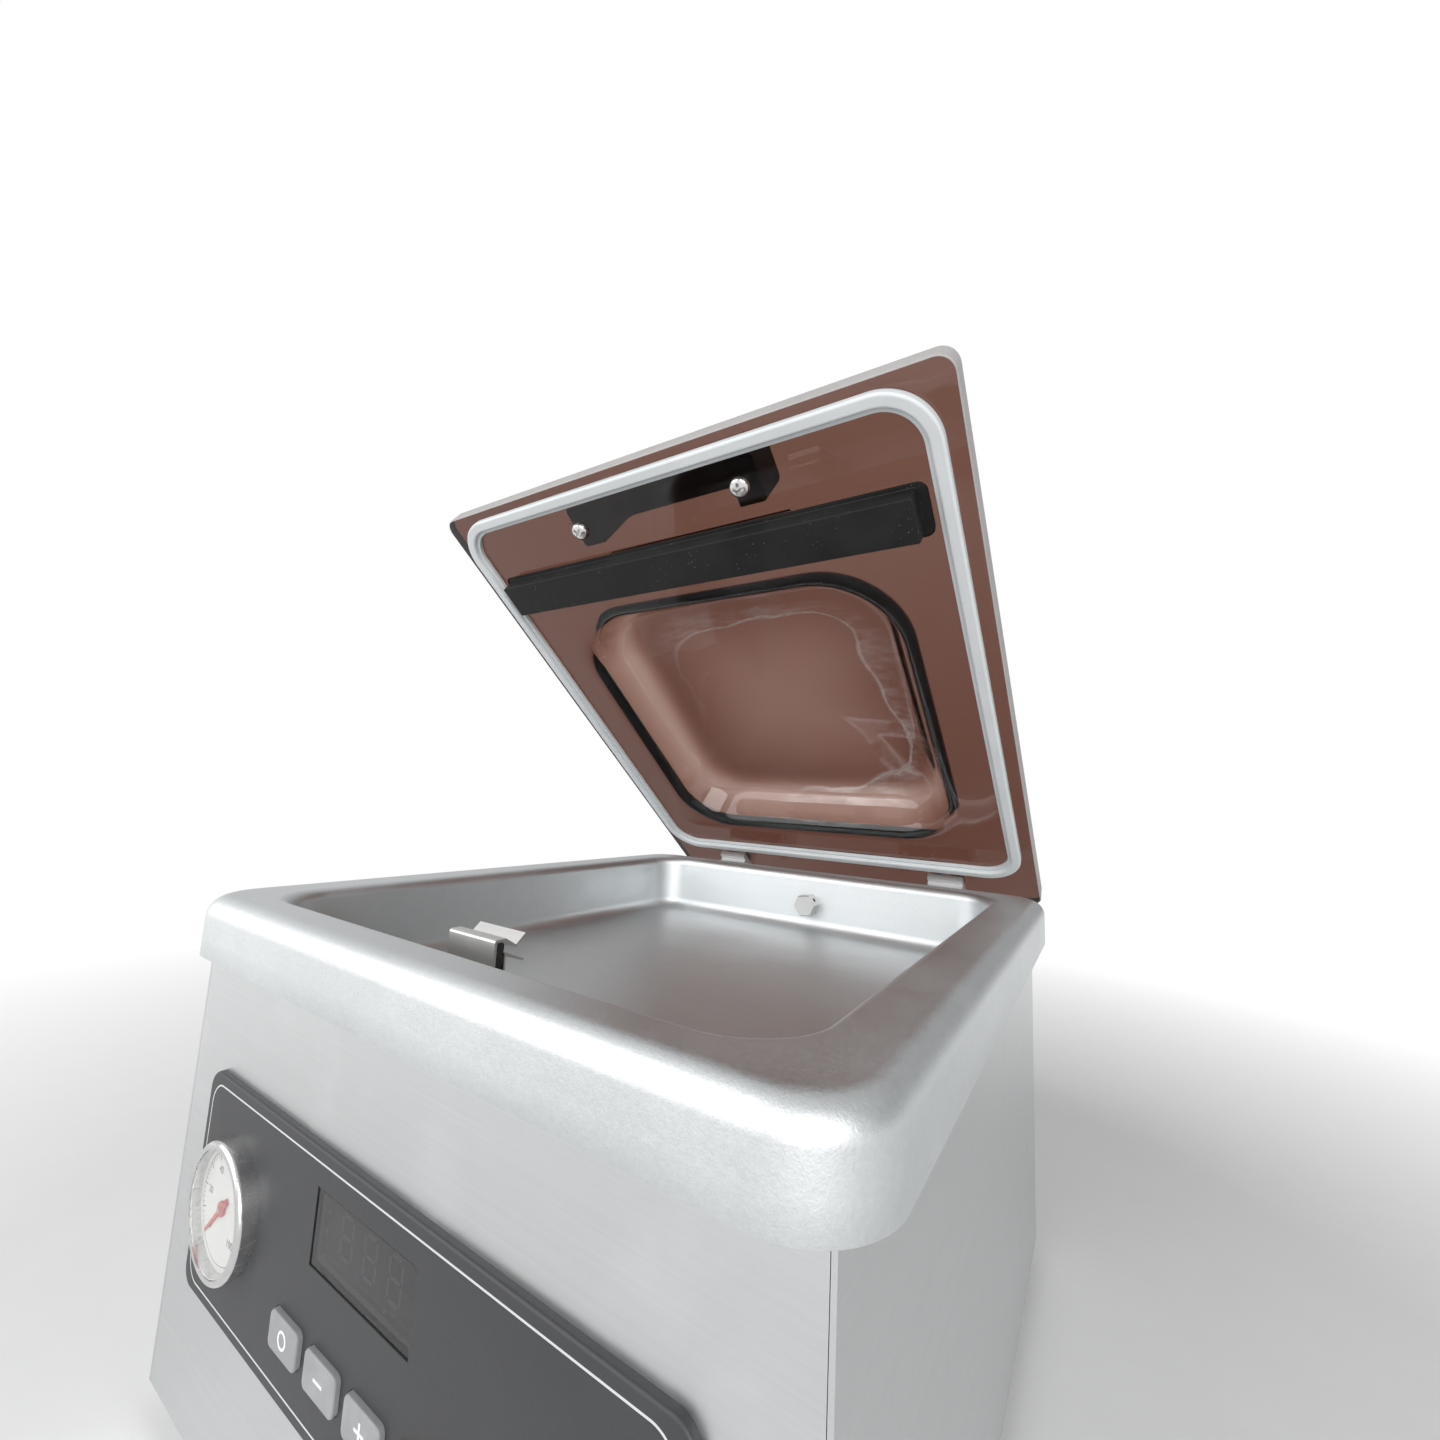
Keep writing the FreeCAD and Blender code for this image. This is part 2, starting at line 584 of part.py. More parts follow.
# Bow handle: two upright feet, sloping shoulders and a bar between them
def lid_handle():
    half = HANDLE_LENGTH / 2
    inner = half - HANDLE_FOOT
    under = HANDLE_HEIGHT - HANDLE_BAR
    top = half - HANDLE_LEAN
    points = [(-half, 0), (-half, HANDLE_SHOULDER), (-top, HANDLE_HEIGHT), (top, HANDLE_HEIGHT),
              (half, HANDLE_SHOULDER), (half, 0), (inner, 0), (inner, under), (-inner, under), (-inner, 0)]
    near = HANDLE_Y - HANDLE_DEPTH / 2
    corners = [Vector(x, near, LID_TOP_Z + z) for x, z in points]
    bow = Part.Face(Part.makePolygon(corners + corners[:1])).extrude(Vector(0, HANDLE_DEPTH, 0))
    bends = []
    for edge in bow.Edges:
        if abs(edge.BoundBox.YLength - HANDLE_DEPTH) < 1e-3 and edge.BoundBox.ZMin > LID_TOP_Z + HANDLE_SHOULDER + 1:
            bends.append(edge)
    bow = bow.makeFillet(HANDLE_BEND, bends)
    rounds = [e for e in bow.Edges if e.BoundBox.YLength < 1e-3 and e.BoundBox.ZMax > LID_TOP_Z + under + 1]
    bow = bow.makeFillet(HANDLE_ROUND, rounds)
    bow = bow.common(plate(half, near, near + HANDLE_DEPTH, LID_TOP_Z, LID_TOP_Z + HANDLE_HEIGHT + 1, HANDLE_CORNER))
    for x, y in handle_screw_places():
        bow = bow.cut(rod(SCREW_R + SCREW_TAP_PLAY, SCREW_GRIP + 1, Vector(x, y, LID_TOP_Z), Z))
    return opened(bow)


def handle_screws():
    screws = []
    for x, y in handle_screw_places():
        screws.append(pan_screw(Vector(x, y, UNDERSIDE_Z), Z, SCREW_R, SCREW_HEAD_R, SCREW_HEAD,
                                LID_THICKNESS + SCREW_GRIP))
    return opened(Part.makeCompound(screws))


def arm_screw_places():
    return [(side * (ARM_X + step * ARM_SCREW_PITCH / 2), HINGE_Y) for side in (-1, 1) for step in (-1, 1)]


def arm_screws():
    screws = []
    for x, y in arm_screw_places():
        screws.append(pan_screw(Vector(x, y, LID_TOP_Z), Z * -1, SCREW_R, SCREW_HEAD_R, SCREW_HEAD,
                                LID_THICKNESS + SCREW_GRIP))
    return opened(Part.makeCompound(screws))


# Cast arm: a flange under the lid, a web down to the pin, and a lug for the spring's leg
def hinge_arm():
    half = ARM_THICKNESS / 2
    root = UNDERSIDE_Z - ARM_FLANGE
    profile = [(HINGE_Y - half, HINGE_Z), (HINGE_Y - half, root), (HINGE_Y - ARM_FLANGE_FRONT, root),
               (HINGE_Y - ARM_FLANGE_FRONT, UNDERSIDE_Z), (HINGE_Y + ARM_FLANGE_REAR, UNDERSIDE_Z),
               (HINGE_Y + ARM_FLANGE_REAR, root), (HINGE_Y + half, root), (HINGE_Y + half, HINGE_Z)]
    arm = bar_along_x(profile, ARM_INNER, ARM_OUTER)
    arm = arm.fuse(rod(half, ARM_WIDTH, Vector(ARM_INNER, HINGE_Y, HINGE_Z), X))
    lug_y = HINGE_Y - SPRING_COIL_R + SPRING_WIRE_R + LUG_R + 0.1
    arm = arm.fuse(rod(LUG_R, LUG_LENGTH + 2, Vector(ARM_INNER - LUG_LENGTH, lug_y, HINGE_Z + LUG_UP_ARM), X))
    arm = arm.removeSplitter()
    arm = arm.cut(rod(PIN_R + PIN_PLAY, ARM_WIDTH + 2, Vector(ARM_INNER - 1, HINGE_Y, HINGE_Z), X))
    for x, y in arm_screw_places():
        if x > 0:
            arm = arm.cut(rod(SCREW_R + SCREW_TAP_PLAY, SCREW_GRIP + 1, Vector(x, y, UNDERSIDE_Z), Z * -1))
    return opened(arm)


# Where the stop pin stands: just behind the web of the open arm
def stop_place():
    reach = ARM_THICKNESS / 2 + STOP_PIN_R + RUN_GAP
    return HINGE_Y + STOP_UP_ARM * SIN + reach * COS, HINGE_Z + STOP_UP_ARM * COS - reach * SIN


# Bent bracket on the rear panel: a back plate and two ears that pass under the skirt and rise behind it
def hinge_bracket():
    stop_y, stop_z = stop_place()
    low = BRACKET_BOTTOM
    clear_y = PAN_REAR + SKIRT_CLEARANCE
    crown = HINGE_Z + EAR_TOP
    nose = stop_y + STOP_PIN_R + EAR
    profile = [(HOUSING_REAR, BRACKET_TOP), (clear_y, BRACKET_TOP), (clear_y, crown), (nose, crown),
               (nose, stop_z - STOP_PIN_R - EAR), (HOUSING_REAR + 2 * EAR, low), (HOUSING_REAR, low)]
    ears = []
    for x0 in (BRACKET_INNER, ARM_OUTER + SIDE_PLAY):
        ear = bar_along_x(profile, x0, x0 + EAR)
        rounds = [e for e in edges_along_x(ear, EAR) if e.BoundBox.ZMin > BRACKET_TOP + 0.1]
        ear = ear.makeFillet(EAR_CORNER, [e for e in rounds if e.BoundBox.YMin > clear_y - 0.1])
        ears.append(ear)
    x1 = ARM_OUTER + SIDE_PLAY + EAR
    body = block(BRACKET_INNER, x1, HOUSING_REAR, HOUSING_REAR + EAR, low, BRACKET_TOP)
    for ear in ears:
        body = body.fuse(ear)
    body = body.removeSplitter()
    long = x1 - BRACKET_INNER + 2
    body = body.cut(rod(PIN_R + PIN_PLAY, long, Vector(BRACKET_INNER - 1, HINGE_Y, HINGE_Z), X))
    body = body.cut(rod(STOP_PIN_R + PIN_PLAY, long, Vector(BRACKET_INNER - 1, stop_y, stop_z), X))
    for x, z in bracket_screw_places():
        body = body.cut(rod(SCREW_R + SCREW_HOLE_PLAY, 3 * EAR, Vector(x, HOUSING_REAR - EAR, z), Y))
    return body


def bracket_screw_places():
    x1 = ARM_OUTER + SIDE_PLAY + EAR
    middle = (BRACKET_INNER + x1) / 2
    wide = (x1 - BRACKET_INNER) / 2 - 4 * EAR
    heights = (BRACKET_TOP - BRACKET_SCREW_INSET, BRACKET_BOTTOM + BRACKET_SCREW_INSET)
    return [(middle + side * wide, z) for side in (-1, 1) for z in heights]


def bracket_screws():
    screws = []
    for x, z in bracket_screw_places():
        seat = Vector(x, HOUSING_REAR + EAR, z)
        screws.append(pan_screw(seat, Y * -1, SCREW_R, SCREW_HEAD_R, SCREW_HEAD, 2 * EAR))
    return both_sides(Part.makeCompound(screws))


# Hinge pins and stop pins: headed on the outside, reaching through both ears
def hinge_pins():
    stop_y, stop_z = stop_place()
    x1 = ARM_OUTER + SIDE_PLAY + EAR
    pins = []
    for r, y, z in ((PIN_R, HINGE_Y, HINGE_Z), (STOP_PIN_R, stop_y, stop_z)):
        start = BRACKET_INNER - PIN_HEAD
        pin = rod(r, x1 - start, Vector(start, y, z), X)
        pins.append(pin.fuse(rod(PIN_HEAD_R, PIN_HEAD, Vector(x1, y, z), X)).removeSplitter())
    return both_sides(Part.makeCompound(pins))


# One arc pair that leaves p0 along t0 and reaches p1 along t1
def biarc(p0, t0, p1, t1):
    v = p1 - p0
    both = t0 + t1
    bend = 2 * (1 - t0.dot(t1))
    d = (math.sqrt(v.dot(both) ** 2 + bend * v.dot(v)) - v.dot(both)) / bend
    q0 = p0 + t0 * d
    q1 = p1 - t1 * d
    middle = (q0 + q1) * 0.5
    along = (q1 - q0).normalize()
    edges = []
    for a, corner, b, t in ((p0, q0, middle, t0), (middle, q1, p1, t1)):
        w = math.cos(t.getAngle(along) / 2)
        top = (a + corner * (2 * w) + b) * (1 / (2 + 2 * w))
        edges.append(Part.Arc(a, top, b).toShape())
    return edges


# Torsion spring round the pin: one leg under the stop pin, the other in front of the arm's lug
def lid_spring():
    stop_y, stop_z = stop_place()
    away_y, away_z = stop_y - HINGE_Y, stop_z - HINGE_Z
    reach = STOP_PIN_R + SPRING_WIRE_R + 0.1 - SPRING_COIL_R
    tilt = math.acos(reach / math.hypot(away_y, away_z)) - math.atan2(away_y, away_z)
    start = tilt - math.pi / 2
    finish = math.pi - math.radians(OPEN_ANGLE)
    sweep = (start - finish) % (2 * math.pi) + 2 * math.pi * SPRING_FULL_TURNS
    x0 = BRACKET_INNER + EAR + 4 * SPRING_WIRE_R
    x1 = ARM_INNER - LUG_LENGTH + SPRING_WIRE_R
    advance = (x1 - x0) / sweep
    quarters = math.ceil(sweep / (math.pi / 2))

    def place(turn):
        y = HINGE_Y + SPRING_COIL_R * math.cos(start - turn)
        z = HINGE_Z + SPRING_COIL_R * math.sin(start - turn)
        return Vector(x0 + advance * turn, y, z)

    def heading(turn):
        a = start - turn
        return Vector(advance, SPRING_COIL_R * math.sin(a), -SPRING_COIL_R * math.cos(a)).normalize()

    begin = place(0) - heading(0) * SPRING_LEG
    edges = [Part.LineSegment(begin, place(0)).toShape()]
    for i in range(quarters):
        a, b = sweep * i / quarters, sweep * (i + 1) / quarters
        edges += biarc(place(a), heading(a), place(b), heading(b))
    edges.append(Part.LineSegment(place(sweep), place(sweep) + heading(sweep) * SPRING_LEG).toShape())
    path = Part.Wire(edges)
    points = path.discretize(Distance=SPRING_WIRE_R)
    apart = math.ceil(2 * SPRING_COIL_R / SPRING_WIRE_R)
    spans = [(points[i] - points[j]).Length for i in range(len(points)) for j in range(i + apart, len(points))]
    print("lid spring least gap to itself", round(min(spans) - 2 * SPRING_WIRE_R, 2))
    section = Part.Wire(Part.makeCircle(SPRING_WIRE_R, begin, heading(0)))
    return path.makePipeShell([section], True, False)


# Extruded bar with side grooves; the rods screw into its underside
def seal_bar():
    wide = BAR_WIDTH / 2
    deep = wide - BAR_GROOVE
    low = BAR_BOTTOM_Z + BAR_HEIGHT * 0.2
    high = BAR_BOTTOM_Z + BAR_HEIGHT * 0.4
    flank = [(wide, BAR_BOTTOM_Z), (wide, low), (deep, low), (deep, high), (wide, high), (wide, BAR_TOP_Z)]
    section = [(PAD_Y + y, z) for y, z in flank]
    section += [(PAD_Y - y, z) for y, z in reversed(flank)]
    return bar_along_x(section, -BAR_LENGTH / 2, BAR_LENGTH / 2)


# Flat heating ribbon along the bar's top, turned down over the clamps at both ends
def heating_ribbon():
    half = BAR_LENGTH / 2 + CLAMP_LENGTH
    top = BAR_TOP_Z + RIBBON_THICKNESS
    low = BAR_TOP_Z - CLAMP_HEIGHT / 2
    points = [(-half - RIBBON_THICKNESS, low), (-half - RIBBON_THICKNESS, top), (half + RIBBON_THICKNESS, top),
              (half + RIBBON_THICKNESS, low), (half, low), (half, BAR_TOP_Z), (-half, BAR_TOP_Z), (-half, low)]
    near = PAD_Y - RIBBON_WIDTH / 2
    corners = [Vector(x, near, z) for x, z in points]
    return Part.Face(Part.makePolygon(corners + corners[:1])).extrude(Vector(0, RIBBON_WIDTH, 0))


# Non-stick tape over the ribbon and down both flanks of the bar
def sealing_tape():
    wide = BAR_WIDTH / 2
    out = wide + TAPE_THICKNESS
    low = BAR_TOP_Z - TAPE_SKIRT
    ribbon = BAR_TOP_Z + RIBBON_THICKNESS
    strip = RIBBON_WIDTH / 2
    section = [(-out, low), (-out, BAR_TOP_Z + TAPE_THICKNESS), (-strip, SEAL_TOP_Z), (strip, SEAL_TOP_Z),
               (out, BAR_TOP_Z + TAPE_THICKNESS), (out, low), (wide, low), (wide, BAR_TOP_Z), (strip, ribbon),
               (-strip, ribbon), (-wide, BAR_TOP_Z), (-wide, low)]
    return bar_along_x([(PAD_Y + y, z) for y, z in section], -BAR_LENGTH / 2, BAR_LENGTH / 2)


# Brass blocks on the bar's ends that hold the ribbon
def ribbon_clamps():
    half = BAR_LENGTH / 2
    wide = BAR_WIDTH / 2 - BAR_GROOVE
    clamp = block(half, half + CLAMP_LENGTH, PAD_Y - wide, PAD_Y + wide, BAR_TOP_Z - CLAMP_HEIGHT, BAR_TOP_Z)
    clamp = clamp.makeFillet(1.0, [e for e in clamp.Edges if e.BoundBox.XLength > CLAMP_LENGTH - 0.1])
    return both_sides(clamp)


# Lifting rods with their pistons
def lift_rods():
    at = Vector(LIFT_X, PAD_Y, PISTON_Z)
    piston = rod(PISTON_R, PISTON_HEIGHT, at, Z)
    piston = piston.makeFillet(0.8, piston.Edges[:1] + piston.Edges[2:])
    return both_sides(piston.fuse(rod(ROD_R, BAR_BOTTOM_Z - PISTON_Z, at, Z)).removeSplitter())


# Air cylinders hanging from the chamber floor by their necks
def lift_cylinders():
    at = Vector(LIFT_X, PAD_Y, CYLINDER_Z)
    body = rod(CYLINDER_R, PAN_UNDER_Z - CYLINDER_Z, at, Z)
    body = body.makeFillet(2.0, edges_at(body, CYLINDER_Z))
    body = body.fuse(rod(NECK_R, FLOOR_Z + NECK_RISE - CYLINDER_Z - CYLINDER_FOOT, at + Z * CYLINDER_FOOT, Z))
    body = body.removeSplitter()
    body = body.cut(rod(PISTON_R + 0.1, PISTON_ROOM, at + Z * CYLINDER_FOOT, Z))
    body = body.cut(rod(ROD_R + ROD_PLAY, RIM_Z - CYLINDER_Z, at + Z * CYLINDER_FOOT, Z))
    return both_sides(body)


# Flat nuts on the necks, inside the chamber
def lift_gland_nuts():
    at = Vector(LIFT_X, PAD_Y, FLOOR_Z)
    nut = hexagon(NUT_FLATS, NUT_HEIGHT, at, Z)
    nut = nut.common(Part.makeSphere(NUT_FLATS * 0.62, at))
    return both_sides(nut.cut(rod(NECK_R + SCREW_TAP_PLAY, NUT_HEIGHT * 3, at - Z * NUT_HEIGHT, Z)))


# Front plate of the clip: foot on the floor, upright, flat top and a lip that dips and flares up
def bag_clip_plate():
    t = CLIP_PLATE
    y0 = CLIP_Y
    top = CLIP_TOP_Z
    neck = y0 + t + CLIP_GRIP + CLIP_LEAF
    tip = neck + CLIP_MOUTH
    foot = y0 + t + CLIP_GRIP + CLIP_FOOT
    dip = (neck + tip) / 2
    points = [(y0, FLOOR_Z), (foot, FLOOR_Z), (foot, FLOOR_Z + t), (y0 + t, FLOOR_Z + t), (y0 + t, top - t),
              (neck - t, top - t), (dip, top - CLIP_FLARE - t), (tip, top + CLIP_FLARE / 4 - t),
              (tip, top + CLIP_FLARE / 4), (dip, top - CLIP_FLARE), (neck - t / 2, top), (y0, top)]
    clip = bar_along_x(points, -CLIP_WIDTH / 2, CLIP_WIDTH / 2)
    bends = [e for e in edges_along_x(clip, CLIP_WIDTH) if abs(e.BoundBox.YMin - y0) < 1e-3]
    clip = clip.makeFillet(t, bends)
    for side in (-1, 1):
        hole = Vector(side * CLIP_SCREW_PITCH / 2, CLIP_SCREW_Y, FLOOR_Z - t)
        clip = clip.cut(rod(SMALL_SCREW_R + PANEL_GAP, 4 * t, hole, Z))
    return clip


# Spring leaf behind it: foot on the plate's foot, upright, and a lip that folds over and flares down
def bag_clip_leaf():
    t = CLIP_LEAF
    y0 = CLIP_Y + CLIP_PLATE + CLIP_GRIP
    low = FLOOR_Z + CLIP_PLATE
    top = CLIP_TOP_Z - CLIP_FLARE - 2 * CLIP_PLATE
    tip = y0 + t + CLIP_MOUTH
    foot = y0 + CLIP_FOOT
    points = [(y0, low), (foot, low), (foot, low + t), (y0 + t, low + t), (y0 + t, top - 2 * t),
              (tip, top - CLIP_FLARE - 2 * t), (tip, top - CLIP_FLARE - t), (y0 + t, top), (y0, top)]
    leaf = bar_along_x(points, -CLIP_WIDTH / 2, CLIP_WIDTH / 2)
    for side in (-1, 1):
        hole = Vector(side * CLIP_SCREW_PITCH / 2, CLIP_SCREW_Y, low - t)
        leaf = leaf.cut(rod(SMALL_SCREW_R + PANEL_GAP, 4 * t, hole, Z))
    return leaf


# Rubber grip that fills the space between plate and leaf
def bag_clip_grip():
    top = CLIP_TOP_Z - CLIP_PLATE - FIT_GAP
    half = CLIP_WIDTH / 2 - 0.6
    near = CLIP_Y + CLIP_PLATE
    return block(-half, half, near, near + CLIP_GRIP, FLOOR_Z + CLIP_PLATE, top)


def bag_clip_screws():
    screws = []
    for side in (-1, 1):
        seat = Vector(side * CLIP_SCREW_PITCH / 2, CLIP_SCREW_Y, FLOOR_Z + CLIP_PLATE + CLIP_LEAF)
        screws.append(pan_screw(seat, Z * -1, SMALL_SCREW_R, SMALL_HEAD_R, SMALL_HEAD, 8.0))
    return Part.makeCompound(screws)


# Hexagonal cap on the rear wall; air leaves through a hole drilled in one flat
def suction_nozzle():
    at = Vector(NOZZLE_X, CHAMBER_REAR, NOZZLE_Z)
    cap = hexagon(NOZZLE_FLATS, NOZZLE_LENGTH, at, Y * -1)
    bevel = Part.makeCone(NOZZLE_FLATS * 0.75, NOZZLE_FLATS * 0.52, NOZZLE_LENGTH, at, Y * -1)
    cap = cap.common(bevel)
    cap = cap.cut(rod(STUB_R + STUB_PLAY, NOZZLE_LENGTH - 3.0, at, Y * -1))
    a = math.radians(30)
    middle = at - Y * (NOZZLE_LENGTH * 0.55)
    return cap.cut(rod(NOZZLE_HOLE_R, NOZZLE_FLATS, middle, Vector(math.cos(a), 0, math.sin(a))))


# Elbow behind the wall: threaded stub into the cap, square body, barb pointing down
def suction_elbow():
    at = Vector(NOZZLE_X, CHAMBER_REAR, NOZZLE_Z)
    half = ELBOW_SIDE / 2
    wall = CHAMBER_REAR + SHEET
    body = block(NOZZLE_X - half, NOZZLE_X + half, wall, ELBOW_Y + half - 1.0, NOZZLE_Z - half, NOZZLE_Z + half)
    body = body.fuse(rod(STUB_R, NOZZLE_LENGTH - 4.0, at, Y * -1)).fuse(rod(STUB_R, SHEET, at, Y))
    down = Vector(NOZZLE_X, ELBOW_Y, NOZZLE_Z)
    return body.fuse(rod(BARB_R, half + 12.0, down, Z * -1)).removeSplitter()


# Hose from the elbow's barb down and forward into the valve block
def suction_hose():
    top = Vector(NOZZLE_X, ELBOW_Y, NOZZLE_Z - ELBOW_SIDE / 2)
    points = [top, Vector(NOZZLE_X, ELBOW_Y, VALVE_Z), Vector(NOZZLE_X, PUMP_Y + VALVE_WIDTH / 2, VALVE_Z)]
    hose = tube(points, HOSE_R, HOSE_BEND)
    return hose.cut(rod(BARB_R, 12.0, top, Z * -1))


# Two thin hoses from the valve block forward to the lift cylinders
def lift_hoses():
    hoses = []
    for side in (-1, 1):
        x0 = NOZZLE_X + side * VALVE_LENGTH / 4
        start = Vector(x0, PUMP_Y - VALVE_WIDTH / 2, VALVE_Z)
        end = Vector(side * LIFT_X, PAD_Y + CYLINDER_R, VALVE_Z)
        turn_y = (start.y + end.y) / 2
        points = [start, Vector(x0, turn_y, VALVE_Z), Vector(end.x, turn_y, VALVE_Z), end]
        hoses.append(tube(points, LIFT_HOSE_R, HOSE_BEND))
    return Part.makeCompound(hoses)


# Relief at a housing corner, where the pan's rounded corner comes down
def corner_notch(x, y):
    r = CORNER_NOTCH
    return block(x - r, x + r, y - r, y + r, SEAT_Z - PAN_EDGE_ROUND, SEAT_Z + SHEET)


# Side panel: upright sheet with an inward flange under the rim and another under the tray
def side_panel():
    x1 = HOUSING_HALF
    near = HOUSING_FRONT + SHEET + PANEL_GAP
    far = HOUSING_REAR - SHEET - PANEL_GAP
    panel = block(x1 - SHEET, x1, HOUSING_FRONT, HOUSING_REAR, FOOT_HEIGHT, SEAT_Z)
    for z in (FOOT_HEIGHT, SEAT_Z - SHEET):
        panel = panel.fuse(block(x1 - FLANGE, x1, near, far, z, z + SHEET))
    panel = panel.removeSplitter()
    for y in (HOUSING_FRONT, HOUSING_REAR):
        panel = panel.cut(corner_notch(x1, y))
    return panel


# Front panel between the side panels, with the same flanges and the openings for the controls
def front_panel():
    half = HOUSING_HALF - SHEET - PANEL_GAP
    inner = half - FLANGE
    y0 = HOUSING_FRONT
    low = FOOT_HEIGHT
    wall = block(-half, half, y0, y0 + SHEET, low, SEAT_Z)
    for z in (low, SEAT_Z - SHEET):
        wall = wall.fuse(block(-inner, inner, y0, y0 + FLANGE - 3 * SHEET, z, z + SHEET))
    wall = wall.removeSplitter()
    for hole in control_holes(y0 - 1, y0 + SHEET + 1, WINDOW_LEDGE):
        wall = wall.cut(hole)
    for x in (-HOUSING_HALF, HOUSING_HALF):
        wall = wall.cut(corner_notch(x, y0))
    return wall


# The holes that the controls pass through, from y near to y far; the display's may be narrowed by a ledge
def control_holes(near, far, ledge):
    wide = WINDOW_WIDTH / 2 - ledge
    high = WINDOW_HEIGHT / 2 - ledge
    holes = [block(-wide, wide, near, far, WINDOW_Z - high, WINDOW_Z + high)]
    wide = KEY_WIDTH / 2 + FIT_GAP
    high = KEY_HEIGHT / 2 + FIT_GAP
    for x in key_places():
        holes.append(upright(wide, KEY_Z - high, KEY_Z + high, near, far, KEY_CORNER + FIT_GAP, x))
    holes.append(rod(GAUGE_R - GAUGE_BEZEL + PANEL_GAP, far - near, Vector(GAUGE_X, near, FASCIA_Z), Y))
    wide = SWITCH_WIDTH / 2 + PANEL_GAP
    high = SWITCH_HEIGHT / 2 + PANEL_GAP
    holes.append(block(SWITCH_X - wide, SWITCH_X + wide, near, far, FASCIA_Z - high, FASCIA_Z + high))
    return holes


def key_places():
    return [(i - (len(KEY_NAMES) - 1) / 2) * KEY_PITCH for i in range(len(KEY_NAMES))]


# Moulded fascia on the front panel
def control_fascia():
    top = FASCIA_Z + FASCIA_HEIGHT / 2
    board = upright(FASCIA_WIDTH / 2, FASCIA_Z - FASCIA_HEIGHT / 2, top, FACE_Y, HOUSING_FRONT, FASCIA_CORNER)
    board = board.makeFillet(1.2, [e for e in board.Edges if abs(e.BoundBox.YMax - FACE_Y) < 1e-4])
    for hole in control_holes(FACE_Y - 1, HOUSING_FRONT + 1, 0.0):
        board = board.cut(hole)
    return board


# Smoked window in the fascia, resting on the front panel
def display_window():
    wide = WINDOW_WIDTH / 2 - PANEL_GAP
    high = WINDOW_HEIGHT / 2 - PANEL_GAP
    return block(-wide, wide, FACE_Y + 0.4, HOUSING_FRONT, WINDOW_Z - high, WINDOW_Z + high)


# One push key: cap through the fascia, a rim behind the panel that keeps it in
def push_key(x):
    far = PANEL_BACK + FIT_GAP
    half = KEY_HEIGHT / 2
    cap = upright(KEY_WIDTH / 2, KEY_Z - half, KEY_Z + half, FACE_Y - KEY_PROUD, far + KEY_RIM, KEY_CORNER, x)
    front = [e for e in cap.Edges if abs(e.BoundBox.YMax - FACE_Y + KEY_PROUD) < 1e-4]
    cap = cap.makeFillet(0.8, front)
    rim = upright(KEY_WIDTH / 2 + KEY_RIM, KEY_Z - half - KEY_RIM, KEY_Z + half + KEY_RIM, far, far + KEY_RIM,
                  KEY_CORNER + KEY_RIM, x)
    post = BOARD_Y - 2 * KEY_TRAVEL - far
    return cap.fuse(rim).fuse(rod(3.0, post, Vector(x, far, KEY_Z), Y)).removeSplitter()


# Circuit board behind the front panel, with the display module and one switch per key
def control_board():
    mid = (WINDOW_Z + KEY_Z) / 2
    half = BOARD_HEIGHT / 2
    wide = BOARD_WIDTH / 2
    board = block(-wide, wide, BOARD_Y, BOARD_Y + BOARD, mid - half, mid + half)
    high = WINDOW_HEIGHT / 2 - 2 * WINDOW_LEDGE
    glass = WINDOW_WIDTH / 2 - 2 * WINDOW_LEDGE
    board = board.fuse(block(-glass, glass, PANEL_BACK + 1, BOARD_Y, WINDOW_Z - high, WINDOW_Z + high))
    for x, z in standoff_places():
        board = board.cut(rod(SMALL_SCREW_R, 3 * BOARD, Vector(x, BOARD_Y - BOARD, z), Y))
    return board.removeSplitter()


def standoff_places():
    mid = (WINDOW_Z + KEY_Z) / 2
    wide = BOARD_WIDTH / 2 - 2 * STANDOFF_R
    high = BOARD_HEIGHT / 2 - 2 * STANDOFF_R
    return [(sx * wide, mid + sz * high) for sx in (-1, 1) for sz in (-1, 1)]


# Pillars welded behind the front panel that carry the board on studs, with a nut on each
def board_standoffs():
    pillars = []
    for x, z in standoff_places():
        foot = Vector(x, PANEL_BACK, z)
        stud = rod(SMALL_SCREW_R - PANEL_GAP, BOARD_STAND + BOARD + STANDOFF_NUT, foot, Y)
        nut = hexagon(2 * SMALL_HEAD_R, STANDOFF_NUT, Vector(x, BOARD_Y + BOARD, z), Y)
        pillars.append(rod(STANDOFF_R, BOARD_STAND, foot, Y).fuse(stud).fuse(nut).removeSplitter())
    return Part.makeCompound(pillars)


# Gauge case: bezel in front of the fascia, can behind it, a pin for the needle in the recess
def gauge_case():
    front = FACE_Y - GAUGE_PROUD
    at = Vector(GAUGE_X, front, FASCIA_Z)
    bezel = rod(GAUGE_R, GAUGE_PROUD, at, Y)
    ring = [e for e in bezel.Edges if abs(e.BoundBox.YMax - front) < 1e-4]
    bezel = bezel.makeFillet(GAUGE_BEZEL * 0.6, ring)
    can = rod(GAUGE_R - GAUGE_BEZEL, GAUGE_PROUD + FASCIA + GAUGE_DEEP - 1, at + Y, Y)
    case = bezel.fuse(can).removeSplitter()
    case = case.cut(rod(GAUGE_R - GAUGE_BEZEL, GAUGE_RECESS, at, Y))
    pin = rod(1.0, GAUGE_RECESS - LENS - 2.0, at + Y * (LENS + 2.0), Y)
    return case.fuse(pin).removeSplitter()


def gauge_dial():
    at = Vector(GAUGE_X, FACE_Y - GAUGE_PROUD + GAUGE_RECESS - DIAL, FASCIA_Z)
    return rod(GAUGE_R - GAUGE_BEZEL - 0.1, DIAL, at, Y).cut(rod(1.1, DIAL * 3, at - Y * DIAL, Y))


